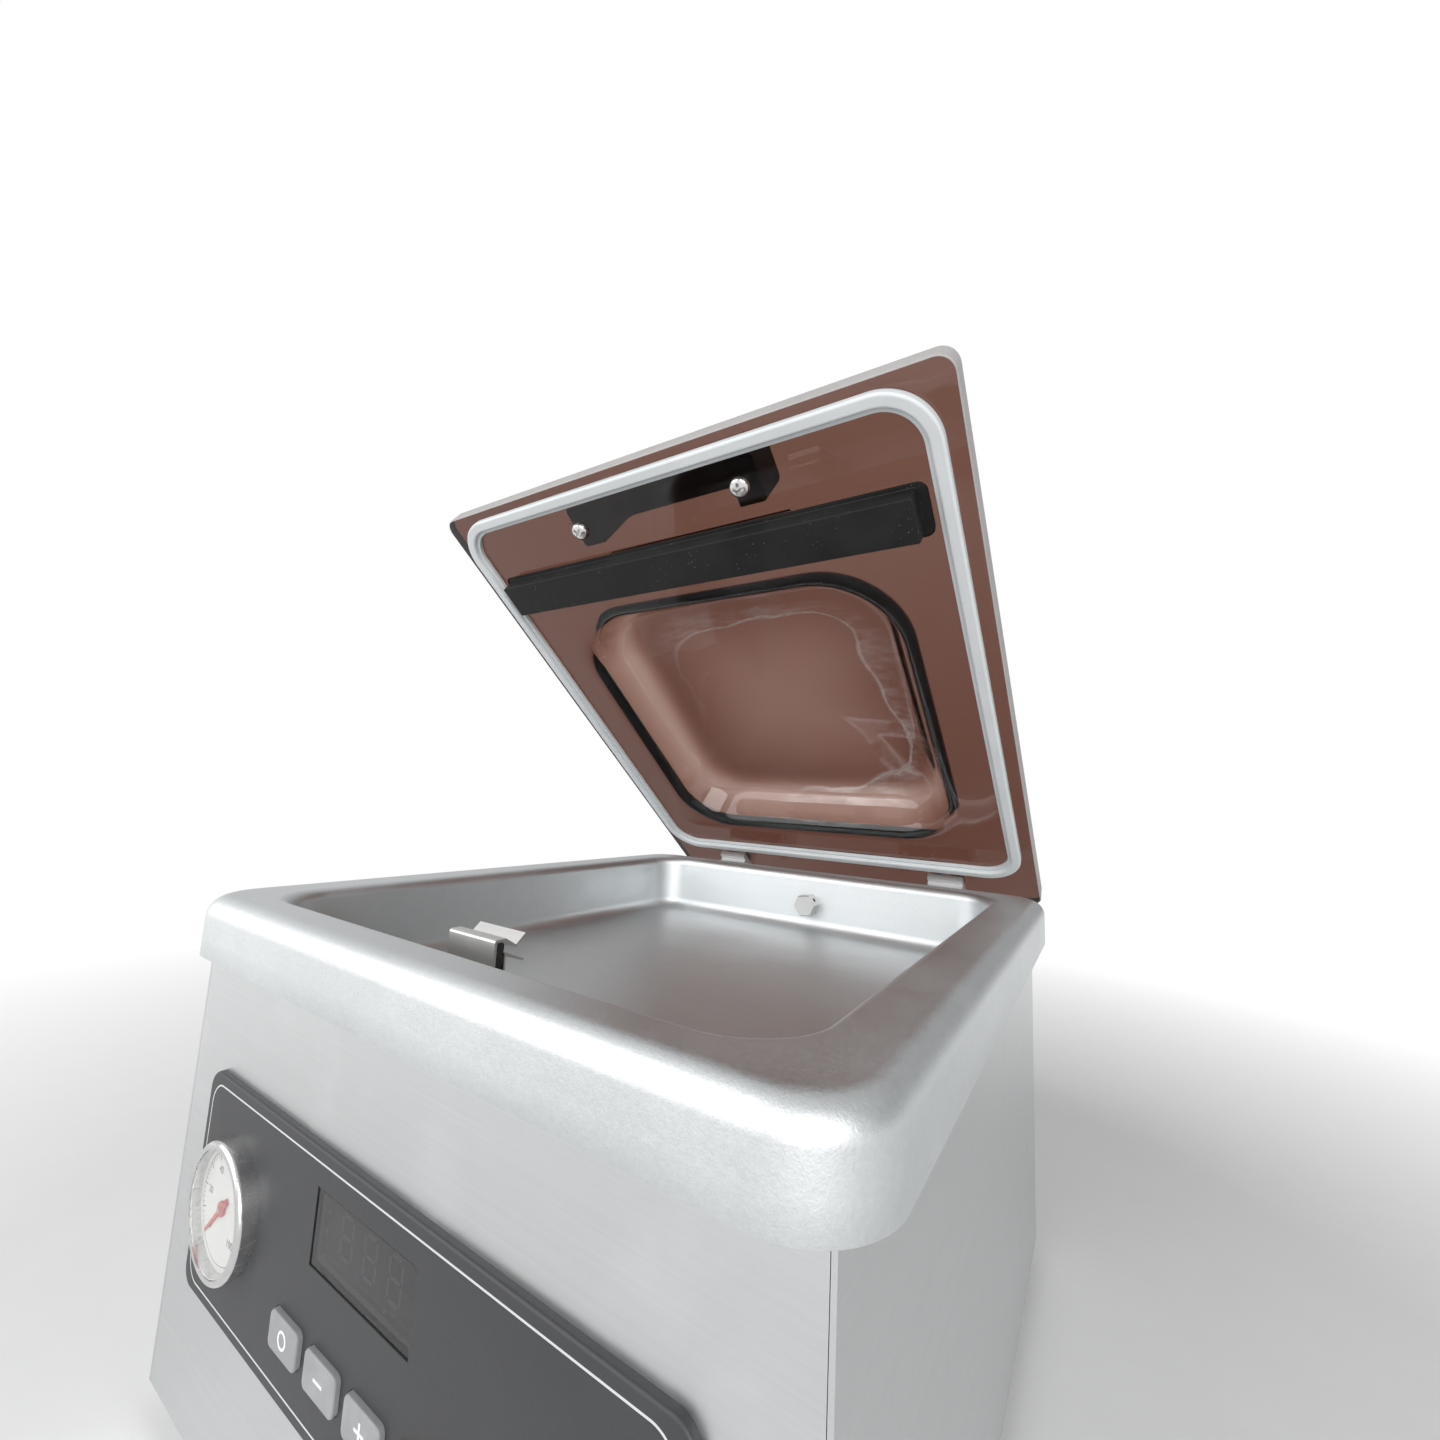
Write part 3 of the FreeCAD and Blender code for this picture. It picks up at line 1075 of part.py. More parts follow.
# Pointer with a tail, on the pin; at rest it points to the scale's zero
def gauge_needle():
    far = FACE_Y - GAUGE_PROUD + GAUGE_RECESS - DIAL - RUN_GAP
    near = far - NEEDLE
    points = [(-1.3, -NEEDLE_TAIL), (1.3, -NEEDLE_TAIL), (0.4, NEEDLE_LENGTH), (-0.4, NEEDLE_LENGTH)]
    corners = [Vector(GAUGE_X + x, near, FASCIA_Z + z) for x, z in points]
    hand = Part.Face(Part.makePolygon(corners + corners[:1])).extrude(Vector(0, NEEDLE, 0))
    hub = Vector(GAUGE_X, near, FASCIA_Z)
    hand = hand.fuse(rod(3.0, NEEDLE, hub, Y)).cut(rod(1.0 + PIN_PLAY, NEEDLE * 3, hub - Y * NEEDLE, Y))
    hand.rotate(hub, Y, NEEDLE_REST)
    return hand.removeSplitter()


def gauge_lens():
    at = Vector(GAUGE_X, FACE_Y - GAUGE_PROUD + 0.5, FASCIA_Z)
    return rod(GAUGE_R - GAUGE_BEZEL - 0.1, LENS, at, Y)


# Rocker switch: frame on the fascia, body behind it, a hollow for the rocker with holes for its axle
def switch_body():
    wide = SWITCH_WIDTH / 2
    high = SWITCH_HEIGHT / 2
    frame = upright(wide + SWITCH_RIM, FASCIA_Z - high - SWITCH_RIM, FASCIA_Z + high + SWITCH_RIM, FACE_Y - 2.0,
                    FACE_Y, 2.0, SWITCH_X)
    far = FACE_Y + SWITCH_DEEP
    body = frame.fuse(block(SWITCH_X - wide, SWITCH_X + wide, FACE_Y, far, FASCIA_Z - high, FASCIA_Z + high))
    hollow = block(SWITCH_X - wide + 1.5, SWITCH_X + wide - 1.5, FACE_Y - 3, FACE_Y + 7.0,
                   FASCIA_Z - high + 1.0, FASCIA_Z + high - 1.0)
    body = body.removeSplitter().cut(hollow)
    axle = Vector(SWITCH_X - wide + 0.4, FACE_Y + 1.5, FASCIA_Z)
    return body.cut(rod(ROCKER_AXLE_R + PIN_PLAY, SWITCH_WIDTH - 0.8, axle, X))


# Rocker: a shallow V on an axle, at rest tipped to off
def power_rocker():
    pivot = Vector(SWITCH_X, FACE_Y + 1.5, FASCIA_Z)
    high = SWITCH_HEIGHT / 2 - 2.2
    wide = SWITCH_WIDTH / 2 - 1.5 - FIT_GAP
    points = [(-5.5, -high), (-3.6, 0), (-5.5, high), (-0.5, high), (2.6, 0), (-0.5, -high)]
    rocker = bar_along_x([(pivot.y + y, pivot.z + z) for y, z in points], SWITCH_X - wide, SWITCH_X + wide)
    axle_half = SWITCH_WIDTH / 2 - 0.7
    rocker = rocker.fuse(rod(ROCKER_AXLE_R, 2 * axle_half, pivot - X * axle_half, X)).removeSplitter()
    rocker.rotate(pivot, X, ROCKER_TILT)
    return rocker


# Rear panel with vent slots, the inlet's cut-out and the brackets' screw holes
def rear_panel():
    half = HOUSING_HALF - SHEET - PANEL_GAP
    y0 = HOUSING_REAR - SHEET
    panel = block(-half, half, y0, HOUSING_REAR, FOOT_HEIGHT, SEAT_Z)
    for x in (-HOUSING_HALF, HOUSING_HALF):
        panel = panel.cut(corner_notch(x, HOUSING_REAR))
    long = VENT_LENGTH / 2
    wide = VENT_WIDTH / 2
    for row in range(VENT_ROWS):
        z = VENT_Z - row * VENT_PITCH
        for x in (-VENT_X, VENT_X):
            slot = upright(long, z - wide, z + wide, y0 - 1, HOUSING_REAR + 1, wide * 0.98, x)
            panel = panel.cut(slot)
    wide = INLET_WIDTH / 2 + INLET_WALL + PANEL_GAP
    high = INLET_HEIGHT / 2 + INLET_WALL + PANEL_GAP
    far = HOUSING_REAR + 1
    panel = panel.cut(block(INLET_X - wide, INLET_X + wide, y0 - 1, far, INLET_Z - high, INLET_Z + high))
    for x, z in bracket_screw_places():
        for side in (-1, 1):
            panel = panel.cut(rod(SCREW_R + SCREW_TAP_PLAY, 3 * SHEET, Vector(side * x, y0 - SHEET, z), Y))
    for x, z in panel_screw_places():
        panel = panel.cut(rod(SMALL_SCREW_R + PANEL_GAP, 3 * SHEET, Vector(x, y0 - SHEET, z), Y))
    return panel


def panel_screw_places():
    half = HOUSING_HALF - 2 * FLANGE
    return [(x, TRAY_TOP + FLANGE / 2) for x in (-half, 0.0, half)]


# Screws through the rear panel into the tray's upturned edge
def panel_screws():
    screws = []
    for x, z in panel_screw_places():
        seat = Vector(x, HOUSING_REAR, z)
        screws.append(pan_screw(seat, Y * -1, SMALL_SCREW_R, SMALL_HEAD_R, SMALL_HEAD, 4 * SHEET))
    return Part.makeCompound(screws)


# Tray on the panels' lower flanges, its rear edge turned up behind the rear panel
def base_tray():
    half = HOUSING_HALF - SHEET - PANEL_GAP
    y0 = HOUSING_FRONT + SHEET + PANEL_GAP
    y1 = HOUSING_REAR - SHEET
    tray = block(-half, half, y0, y1, TRAY_Z, TRAY_TOP)
    tray = tray.fuse(block(-half, half, y1 - TRAY, y1, TRAY_Z, TRAY_TOP + FLANGE)).removeSplitter()
    for x, z in panel_screw_places():
        tray = tray.cut(rod(SMALL_SCREW_R + SCREW_TAP_PLAY, 3 * TRAY, Vector(x, y1 - 2 * TRAY, z), Y))
    return tray


# Rubber feet: tapered, with a spigot up to the tray
def rubber_feet():
    feet = []
    for x in (-HOUSING_HALF + FOOT_INSET, HOUSING_HALF - FOOT_INSET):
        for y in (HOUSING_FRONT + FOOT_INSET, HOUSING_REAR - FOOT_INSET):
            foot = Part.makeCone(FOOT_R * 0.85, FOOT_R, TRAY_Z, Vector(x, y, 0), Z)
            feet.append(foot.makeFillet(1.0, edges_at(foot, 0.0)))
    return Part.makeCompound(feet)


# Mains inlet that snaps into the rear panel: flange outside, shell with the socket mouth, three pins
def power_inlet():
    wide = INLET_WIDTH / 2
    high = INLET_HEIGHT / 2
    far = HOUSING_REAR - SHEET - INLET_DEPTH
    front = HOUSING_REAR + INLET_FLANGE
    tall = high + INLET_BORDER
    body = upright(wide + INLET_BORDER, INLET_Z - tall, INLET_Z + tall, HOUSING_REAR, front, 3.0, INLET_X)
    wall = wide + INLET_WALL
    tall = high + INLET_WALL
    shell = block(INLET_X - wall, INLET_X + wall, far, HOUSING_REAR, INLET_Z - tall, INLET_Z + tall)
    body = body.fuse(shell).removeSplitter()
    body = body.cut(block(INLET_X - wide, INLET_X + wide, far + 2, front + 1, INLET_Z - high, INLET_Z + high))
    for step in (-7.0, 0.0, 7.0):
        z = INLET_Z + (2.0 if step == 0 else -2.0)
        pin = block(INLET_X + step - 1.0, INLET_X + step + 1.0, far - 6.0, front - 8.0, z - 2.0, z + 2.0)
        body = body.fuse(pin)
    return body.removeSplitter()


# Rotary vane pump: ribbed block on rubber mounts, with the riser that carries the valve block
def vacuum_pump():
    x0 = PUMP_X - PUMP_LENGTH / 2
    y0 = PUMP_Y - PUMP_WIDTH / 2
    top = PUMP_Z + PUMP_HEIGHT
    pump = block(x0, x0 + PUMP_LENGTH, y0, y0 + PUMP_WIDTH, PUMP_Z, top)
    pump = pump.makeFillet(8.0, [e for e in pump.Edges if e.BoundBox.XLength > PUMP_LENGTH - 1])
    pitch = PUMP_LENGTH / (PUMP_RIBS + 1)
    for i in range(PUMP_RIBS):
        x = x0 + pitch * (i + 1) - PUMP_RIB / 2
        pump = pump.fuse(block(x, x + PUMP_RIB, y0 - 6.0, y0 + 10.0, PUMP_Z + 12.0, top - 12.0))
    riser = rod(HOSE_R, VALVE_TOP - VALVE_HEIGHT - top, Vector(NOZZLE_X, PUMP_Y, top), Z)
    return pump.fuse(riser).removeSplitter()


# Motor bolted to the pump's end, with cooling ribs
def pump_motor():
    x0 = PUMP_X + PUMP_LENGTH / 2
    mid = Vector(x0, PUMP_Y, PUMP_Z + PUMP_HEIGHT / 2)
    motor = rod(MOTOR_R - MOTOR_RIB, MOTOR_LENGTH, mid, X)
    end = x0 + MOTOR_LENGTH - 12.0
    for i in range(MOTOR_RIBS):
        rib = block(x0 + 10.0, end, PUMP_Y - 1.0, PUMP_Y + 1.0, mid.z + 10.0, mid.z + MOTOR_R)
        rib.rotate(mid, X, 360.0 * i / MOTOR_RIBS)
        motor = motor.fuse(rib)
    return motor.removeSplitter()


# Rubber mounts between the pump and the tray
def pump_mounts():
    mounts = []
    for sx in (-1, 1):
        for sy in (-1, 1):
            x = PUMP_X + sx * (PUMP_LENGTH / 2 - MOUNT_R - 2.0)
            y = PUMP_Y + sy * (PUMP_WIDTH / 2 - MOUNT_R - 2.0)
            mounts.append(rod(MOUNT_R, MOUNT_HEIGHT, Vector(x, y, TRAY_TOP), Z))
    return Part.makeCompound(mounts)


# Brass valve block on the pump's riser, where the hoses meet
def valve_block():
    half = VALVE_LENGTH / 2
    wide = VALVE_WIDTH / 2
    low = VALVE_TOP - VALVE_HEIGHT
    body = block(NOZZLE_X - half, NOZZLE_X + half, PUMP_Y - wide, PUMP_Y + wide, low, VALVE_TOP)
    return body.makeFillet(2.0, [e for e in body.Edges if e.BoundBox.ZLength > VALVE_HEIGHT - 0.1])


# Solenoid coils on the valve block
def valve_coils():
    coils = []
    for side in (-1, 1):
        coil = rod(COIL_R, COIL_HEIGHT, Vector(NOZZLE_X + side * VALVE_LENGTH / 4, PUMP_Y, VALVE_TOP), Z)
        coils.append(coil.makeFillet(1.5, edges_at(coil, VALVE_TOP + COIL_HEIGHT)))
    return Part.makeCompound(coils)


# Sealing transformer: laminated core with the winding round its middle leg
def seal_transformer():
    x = HOUSING_HALF - CORE_LENGTH / 2 - CORE_FROM_SIDE
    y = HOUSING_FRONT + CORE_FROM_FRONT
    half = CORE_LENGTH / 2
    wide = CORE_WIDTH / 2
    top = TRAY_TOP + CORE_HEIGHT
    core = block(x - half, x + half, y - wide, y + wide, TRAY_TOP, top)
    low = TRAY_TOP + CORE_LEG
    high = top - CORE_LEG
    coil = block(x - half + CORE_LEG, x + half - CORE_LEG, y - wide - WINDING, y + wide + WINDING, low, high)
    coil = coil.makeFillet(5.0, [e for e in coil.Edges if e.BoundBox.ZLength > high - low - 0.1])
    return core.fuse(coil).removeSplitter()


right_arm = hinge_arm()
right_bracket = hinge_bracket()
right_spring = lid_spring()
right_side = side_panel()

pieces = {
    "chamber_pan": chamber_pan(),
    "side_panel_left": mirrored(right_side),
    "side_panel_right": right_side,
    "front_panel": front_panel(),
    "rear_panel": rear_panel(),
    "panel_screws": panel_screws(),
    "base_tray": base_tray(),
    "rubber_feet": rubber_feet(),
    "suction_nozzle": suction_nozzle(),
    "suction_elbow": suction_elbow(),
    "suction_hose": suction_hose(),
    "bag_clip_plate": bag_clip_plate(),
    "bag_clip_leaf": bag_clip_leaf(),
    "bag_clip_grip": bag_clip_grip(),
    "bag_clip_screws": bag_clip_screws(),
    "lift_cylinders": lift_cylinders(),
    "lift_gland_nuts": lift_gland_nuts(),
    "lift_hoses": lift_hoses(),
    "hinge_bracket_left": mirrored(right_bracket),
    "hinge_bracket_right": right_bracket,
    "bracket_screws": bracket_screws(),
    "hinge_pins": hinge_pins(),
    "lid_spring_left": mirrored(right_spring),
    "lid_spring_right": right_spring,
    "vacuum_pump": vacuum_pump(),
    "pump_motor": pump_motor(),
    "pump_mounts": pump_mounts(),
    "valve_block": valve_block(),
    "valve_coils": valve_coils(),
    "seal_transformer": seal_transformer(),
    "control_board": control_board(),
    "board_standoffs": board_standoffs(),
    "control_fascia": control_fascia(),
    "display_window": display_window(),
    "gauge_case": gauge_case(),
    "gauge_dial": gauge_dial(),
    "gauge_needle": gauge_needle(),
    "gauge_lens": gauge_lens(),
    "switch_body": switch_body(),
    "power_rocker": power_rocker(),
    "power_inlet": power_inlet(),
    "lid_shell": lid_shell(),
    "lid_gasket": lid_gasket(),
    "press_pad": press_pad(),
    "lid_handle": lid_handle(),
    "handle_screws": handle_screws(),
    "hinge_arm_left": mirrored(right_arm),
    "hinge_arm_right": right_arm,
    "arm_screws": arm_screws(),
    "seal_bar": seal_bar(),
    "heating_ribbon": heating_ribbon(),
    "sealing_tape": sealing_tape(),
    "ribbon_clamps": ribbon_clamps(),
    "lift_rods": lift_rods(),
}
for name, x in zip(KEY_NAMES, key_places()):
    pieces[name] = push_key(x)

os.makedirs("parts", exist_ok=True)
for name, shape in pieces.items():
    shape.exportStep("parts/" + name + ".step")
print("nodes", len(pieces), "hinge", round(HINGE_Y, 3), round(HINGE_Z, 3), "lift", round(LIFT_TRAVEL, 3))
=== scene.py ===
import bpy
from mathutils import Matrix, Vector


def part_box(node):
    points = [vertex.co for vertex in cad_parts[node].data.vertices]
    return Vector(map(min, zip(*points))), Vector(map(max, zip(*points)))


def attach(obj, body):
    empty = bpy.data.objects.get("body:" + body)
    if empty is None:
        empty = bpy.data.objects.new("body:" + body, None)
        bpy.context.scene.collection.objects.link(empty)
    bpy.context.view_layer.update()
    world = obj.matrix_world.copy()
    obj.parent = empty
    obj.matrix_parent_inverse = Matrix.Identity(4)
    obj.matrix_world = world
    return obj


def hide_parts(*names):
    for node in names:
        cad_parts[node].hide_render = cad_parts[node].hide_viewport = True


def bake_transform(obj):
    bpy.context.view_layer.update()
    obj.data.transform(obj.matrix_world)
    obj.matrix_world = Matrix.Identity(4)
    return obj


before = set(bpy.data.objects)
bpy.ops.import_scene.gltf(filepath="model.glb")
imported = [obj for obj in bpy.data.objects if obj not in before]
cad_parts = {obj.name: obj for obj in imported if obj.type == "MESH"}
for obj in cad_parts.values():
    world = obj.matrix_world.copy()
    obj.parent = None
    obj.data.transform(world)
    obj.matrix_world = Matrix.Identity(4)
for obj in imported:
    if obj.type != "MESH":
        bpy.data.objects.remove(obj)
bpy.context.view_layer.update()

import math

import bmesh
import bpy
from mathutils import Euler, Matrix, Vector


# Base tray: folded sheet that closes the housing from below and carries the machinery.
# Zinc-plated steel with its frosty crystal pattern left bare, folded up along the rear edge.
# It lies on the panels' lower flanges and takes the rear panel's three screws.
class Socket:
    def __init__(self, tree, out=None):
        self.tree, self.out = tree, out

    def feed(self, node, values):
        for key, value in values.items():
            for one in value if isinstance(value, list) else [value]:
                if isinstance(one, Socket):
                    self.tree.links.new(one.out, node.inputs[key])
                else:
                    node.inputs[key].default_value = one

    def node(self, kind, settings=None, values=None, output=0):
        made = self.tree.nodes.new(kind)
        for key, value in (settings or {}).items():
            setattr(made, key, value)
        self.feed(made, values or {})
        return Socket(self.tree, made.outputs[output] if len(made.outputs) else None)

    def maths(self, operation, first, second=0.0):
        return self.node("ShaderNodeMath", {"operation": operation}, {0: first, 1: second})

    def __add__(self, other):
        return self.maths("ADD", self, other)

    def __sub__(self, other):
        return self.maths("SUBTRACT", self, other)

    def __rsub__(self, other):
        return self.maths("SUBTRACT", other, self)

    def __mul__(self, other):
        return self.maths("MULTIPLY", self, other)

    def __truediv__(self, other):
        return self.maths("DIVIDE", self, other)

    def __pow__(self, other):
        return self.maths("POWER", self, other)

    def __gt__(self, other):
        return self.maths("GREATER_THAN", self, other)

    def __lt__(self, other):
        return self.maths("LESS_THAN", self, other)

    __radd__, __rmul__ = __add__, __mul__


def new_finish(name):
    finish = bpy.data.materials.new(name)
    finish.use_nodes = True
    return finish, Socket(finish.node_tree).node("ShaderNodeTexCoord", output="Object")


def noise(at, scale, detail=2.0, rough=0.5):
    values = {"Vector": at, "Scale": scale, "Detail": detail, "Roughness": rough}
    return at.node("ShaderNodeTexNoise", {}, values)


def cells(at, scale, feature="F1", output="Distance"):
    return at.node("ShaderNodeTexVoronoi", {"feature": feature}, {"Vector": at, "Scale": scale}, output)


def blended(mask, first, second):
    first, second = [(*c, 1.0) if isinstance(c, tuple) else c for c in (first, second)]
    return mask.node("ShaderNodeMix", {"data_type": "RGBA"}, {0: mask, 6: first, 7: second}, 2)


def shade(finish, colour, rough, bump=None, depth=0.0001, strength=0.5, **others):
    shader = finish.node_tree.nodes["Principled BSDF"]
    start = Socket(finish.node_tree)
    values = {key.replace("_", " "): value for key, value in others.items()}
    values.update({"Base Color": colour, "Roughness": rough})
    if bump is not None:
        relief = {"Height": bump, "Distance": depth, "Strength": strength}
        values["Normal"] = start.node("ShaderNodeBump", {}, relief)
    start.feed(shader, values)
    return finish


def creased(start, solid, angle):
    solid = start.node("GeometryNodeSetShadeSmooth", {"domain": "FACE"},
                       {"Geometry": solid, "Shade Smooth": True})
    sharp = start.node("GeometryNodeInputMeshEdgeAngle") > math.radians(angle)
    return start.node("GeometryNodeSetShadeSmooth", {"domain": "EDGE"},
                      {"Geometry": solid, "Selection": sharp, "Shade Smooth": False})


def eased_edges():
    tree = bpy.data.node_groups.new("eased_edges", "GeometryNodeTree")
    for side in ("INPUT", "OUTPUT"):
        tree.interface.new_socket("Solid", in_out=side, socket_type="NodeSocketGeometry")
    start = Socket(tree)
    solid = start.node("GeometryNodeMergeByDistance", {},
                       {"Geometry": start.node("NodeGroupInput"), "Distance": 1e-6})
    start.node("NodeGroupOutput", {}, {0: creased(start, solid, 24)})
    return tree


EASED = eased_edges()


def dress(names, finish):
    for name in names.split():
        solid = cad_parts[name]
        solid.data.materials.clear()
        solid.data.materials.append(finish)
        solid.modifiers.new("eased", "NODES").node_group = EASED


def zinc_sheet():
    finish, at = new_finish("zinc_spangle")
    flake = at.node("ShaderNodeSeparateColor", {}, {0: cells(at, 140, "F1", "Color")})
    dull = noise(at, 18, 3.0)
    return shade(finish, blended(flake * 0.6 + dull * 0.4, (0.4, 0.42, 0.44), (0.62, 0.64, 0.66)),
                 0.34 + flake * 0.16, dull * 0.5 + flake * 0.3, 0.0002, 0.25, Metallic=0.9)


dress("base_tray", zinc_sheet())


# Feet: four moulded rubber pucks with a slight taper, black with grey dust in their pores.
# Each is stuck to the tray's underside near a corner.
def ramped(value, low, high):
    limits = {"Value": value, "From Min": low, "From Max": high}
    return value.node("ShaderNodeMapRange", {"clamp": True}, limits)


def lifted(tone, times, plus=0.0):
    return tuple(c * times + plus for c in tone)


def rubber(name, colour, dust, shine=0.4):
    finish, at = new_finish(name)
    specks = ramped(cells(at, 420), 0.16, 0.05) * ramped(noise(at, 60), 0.5, 0.7)
    bloom = ramped(noise(at, 35, 4.0), 0.35, 0.75)
    tone = blended(bloom, colour, lifted(colour, 1.7, 0.004))
    return shade(finish, blended(specks * 0.6, tone, dust), 0.62 + bloom * 0.16,
                 noise(at, 1500) + specks * 0.4, 0.00012, 0.35, Specular_IOR_Level=shine)


def new_tree(name, sizes):
    tree = bpy.data.node_groups.new(name, "GeometryNodeTree")
    for key, kind in (("Seats", "Geometry"), *((size, "Float") for size in sizes), ("Finish", "Material")):
        tree.interface.new_socket(key, in_out="INPUT", socket_type="NodeSocket" + kind)
    tree.interface.new_socket("Made", in_out="OUTPUT", socket_type="NodeSocketGeometry")
    start = Socket(tree)
    given = {key: start.node("NodeGroupInput", output=key) for key in ["Seats", "Finish", *sizes]}
    given["Way"] = start.node("GeometryNodeInputNamedAttribute", {"data_type": "FLOAT_VECTOR"},
                              {"Name": "axis"})
    return tree, start, given


def parted(at):
    return [at.node("ShaderNodeSeparateXYZ", {}, {0: at}, key) for key in "XYZ"]


def combined(start, x=0.0, y=0.0, z=0.0):
    return start.node("ShaderNodeCombineXYZ", {}, {0: x, 1: y, 2: z})


def copied(start, given, shape, turned):
    made = start.node("GeometryNodeInstanceOnPoints", {},
                      {"Points": given["Seats"], "Instance": shape, "Rotation": turned})
    made = start.node("GeometryNodeRealizeInstances", {}, {"Geometry": made})
    made = start.node("GeometryNodeSetMaterial", {}, {"Geometry": made, "Material": given["Finish"]})
    start.node("NodeGroupOutput", {}, {0: made})


def planted(start, given, shape, roll=0.0):
    turned = start.node("FunctionNodeAlignRotationToVector", {"axis": "Z"}, {"Vector": given["Way"]})
    if roll:
        angle = start.node("FunctionNodeRandomValue", {"data_type": "FLOAT"},
                           {2: 0.0, 3: roll, "Seed": 7}, 1)
        by = start.node("FunctionNodeEulerToRotation", {}, {"Euler": combined(start, z=angle)})
        turned = start.node("FunctionNodeRotateRotation", {"rotation_space": "LOCAL"},
                            {"Rotation": turned, "Rotate By": by})
    copied(start, given, creased(start, shape, 32), turned)


def placed(name, data):
    made = bpy.data.objects.new(name, data)
    bpy.context.scene.collection.objects.link(made)
    return made


def fitted(made, body, stands_for):
    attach(made, body)
    if stands_for:
        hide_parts(*stands_for.split())
    return made


MM = 0.001


def grown(name, tree, seats, sizes, finish, body, stands_for):
    mesh = bpy.data.meshes.new(name)
    mesh.from_pydata([[c * MM for c in place] for place, way in seats], [], [])
    ways = mesh.attributes.new("axis", "FLOAT_VECTOR", "POINT")
    ways.data.foreach_set("vector", [c for place, way in seats for c in way])
    made = placed(name, mesh)
    step = made.modifiers.new("made", "NODES")
    step.node_group = tree
    for socket in tree.interface.items_tree:
        if socket.in_out == "INPUT" and socket.name in sizes:
            step[socket.identifier] = sizes[socket.name] * MM
        elif socket.name == "Finish":
            step[socket.identifier] = finish
    seen = made.evaluated_get(bpy.context.evaluated_depsgraph_get())
    plain = bpy.data.meshes.new_from_object(seen)
    made.modifiers.remove(step)
    made.data = plain
    return fitted(made, body, stands_for)


def puck_tree():
    tree, start, given = new_tree("rubber_pucks", ["Radius", "Height", "Taper", "Waist"])
    wide, tall = given["Radius"], given["Height"]
    puck = start.node("GeometryNodeMeshCylinder", {"fill_type": "NGON"},
                      {"Vertices": 40, "Side Segments": 14, "Radius": wide, "Depth": tall})
    x, y, z = parted(start.node("GeometryNodeInputPosition"))
    up = z / tall + 0.5
    grip = 1 - given["Taper"] / wide * (1 - up) - given["Waist"] / wide * 4 * up * (1 - up)
    grip = grip - 0.07 * (1 - up) ** 9 - 0.05 * up ** 9
    moved = combined(start, x * grip, y * grip, z + tall * 0.5)
    planted(start, given, start.node("GeometryNodeSetPosition", {}, {"Geometry": puck, "Position": moved}))
    return tree


PUCKS = puck_tree()
UP = (0, 0, 1)
FOOT_X, FOOT_FRONT, FOOT_REAR = 138.0, -179.118, 129.382
seats = [((x, y, 0), UP) for x in (-FOOT_X, FOOT_X) for y in (FOOT_FRONT, FOOT_REAR)]
grown("feet", PUCKS, seats, {"Radius": 16, "Height": 13.5, "Taper": 2.4, "Waist": 0.4},
      rubber("foot_rubber", (0.02, 0.02, 0.021), (0.16, 0.155, 0.15)), "housing", "rubber_feet")


# Housing panels: two sides, a front with the controls' cut-outs and a rear with slots for air.
# Stainless sheet brushed along its length, folded over at the edges to carry the pan and the tray.
def stretched(at, scale, turn=(0.0, 0.0, 0.0)):
    return at.node("ShaderNodeMapping", {}, {"Vector": at, "Scale": scale, "Rotation": turn})


def brushed(name, tone, run, rough=0.3):
    finish, at = new_finish(name)
    coarse, hair = [tuple(along if axis == run else across for axis in "xyz")
                    for along, across in ((5, 900), (14, 2600))]
    lines = noise(stretched(at, coarse), 1.0, 3.0, 0.6)
    fine = noise(stretched(at, hair), 1.0)
    cloud = noise(at, 7, 3.0)
    mark = ramped(noise(stretched(at, (23, 31, 19)), 1.0, 5.0, 0.65), 0.55, 0.8)
    grey = lines * 0.5 + fine * 0.3 + cloud * 0.2
    return shade(finish, blended(grey, lifted(tone, 0.86), lifted(tone, 1.08)),
                 rough + fine * 0.12 + mark * 0.12, lines * 0.6 + fine * 0.4, 0.00005, 0.3, Metallic=1.0)


STEEL = (0.655, 0.67, 0.675)
dress("side_panel_left side_panel_right", brushed("side_panel_brushed", STEEL, "y"))
dress("front_panel rear_panel", brushed("front_panel_brushed", STEEL, "x"))


# Panel screws: three small pan-head screws through the rear panel into the tray's upturned edge.
# Bright zinc-plated steel with a cross recess, each stopped at its own angle.
def plated(name, tone=(0.78, 0.78, 0.77), rough=0.14):
    finish, at = new_finish(name)
    haze = noise(at, 260, 3.0)
    nick = ramped(noise(stretched(at, (900, 140, 900)), 1.0, 3.0), 0.58, 0.75)
    return shade(finish, blended(haze, lifted(tone, 0.8), tone), rough + haze * rough + nick * 0.2,
                 haze + nick * 0.5, 0.00004, 0.3, Metallic=1.0)


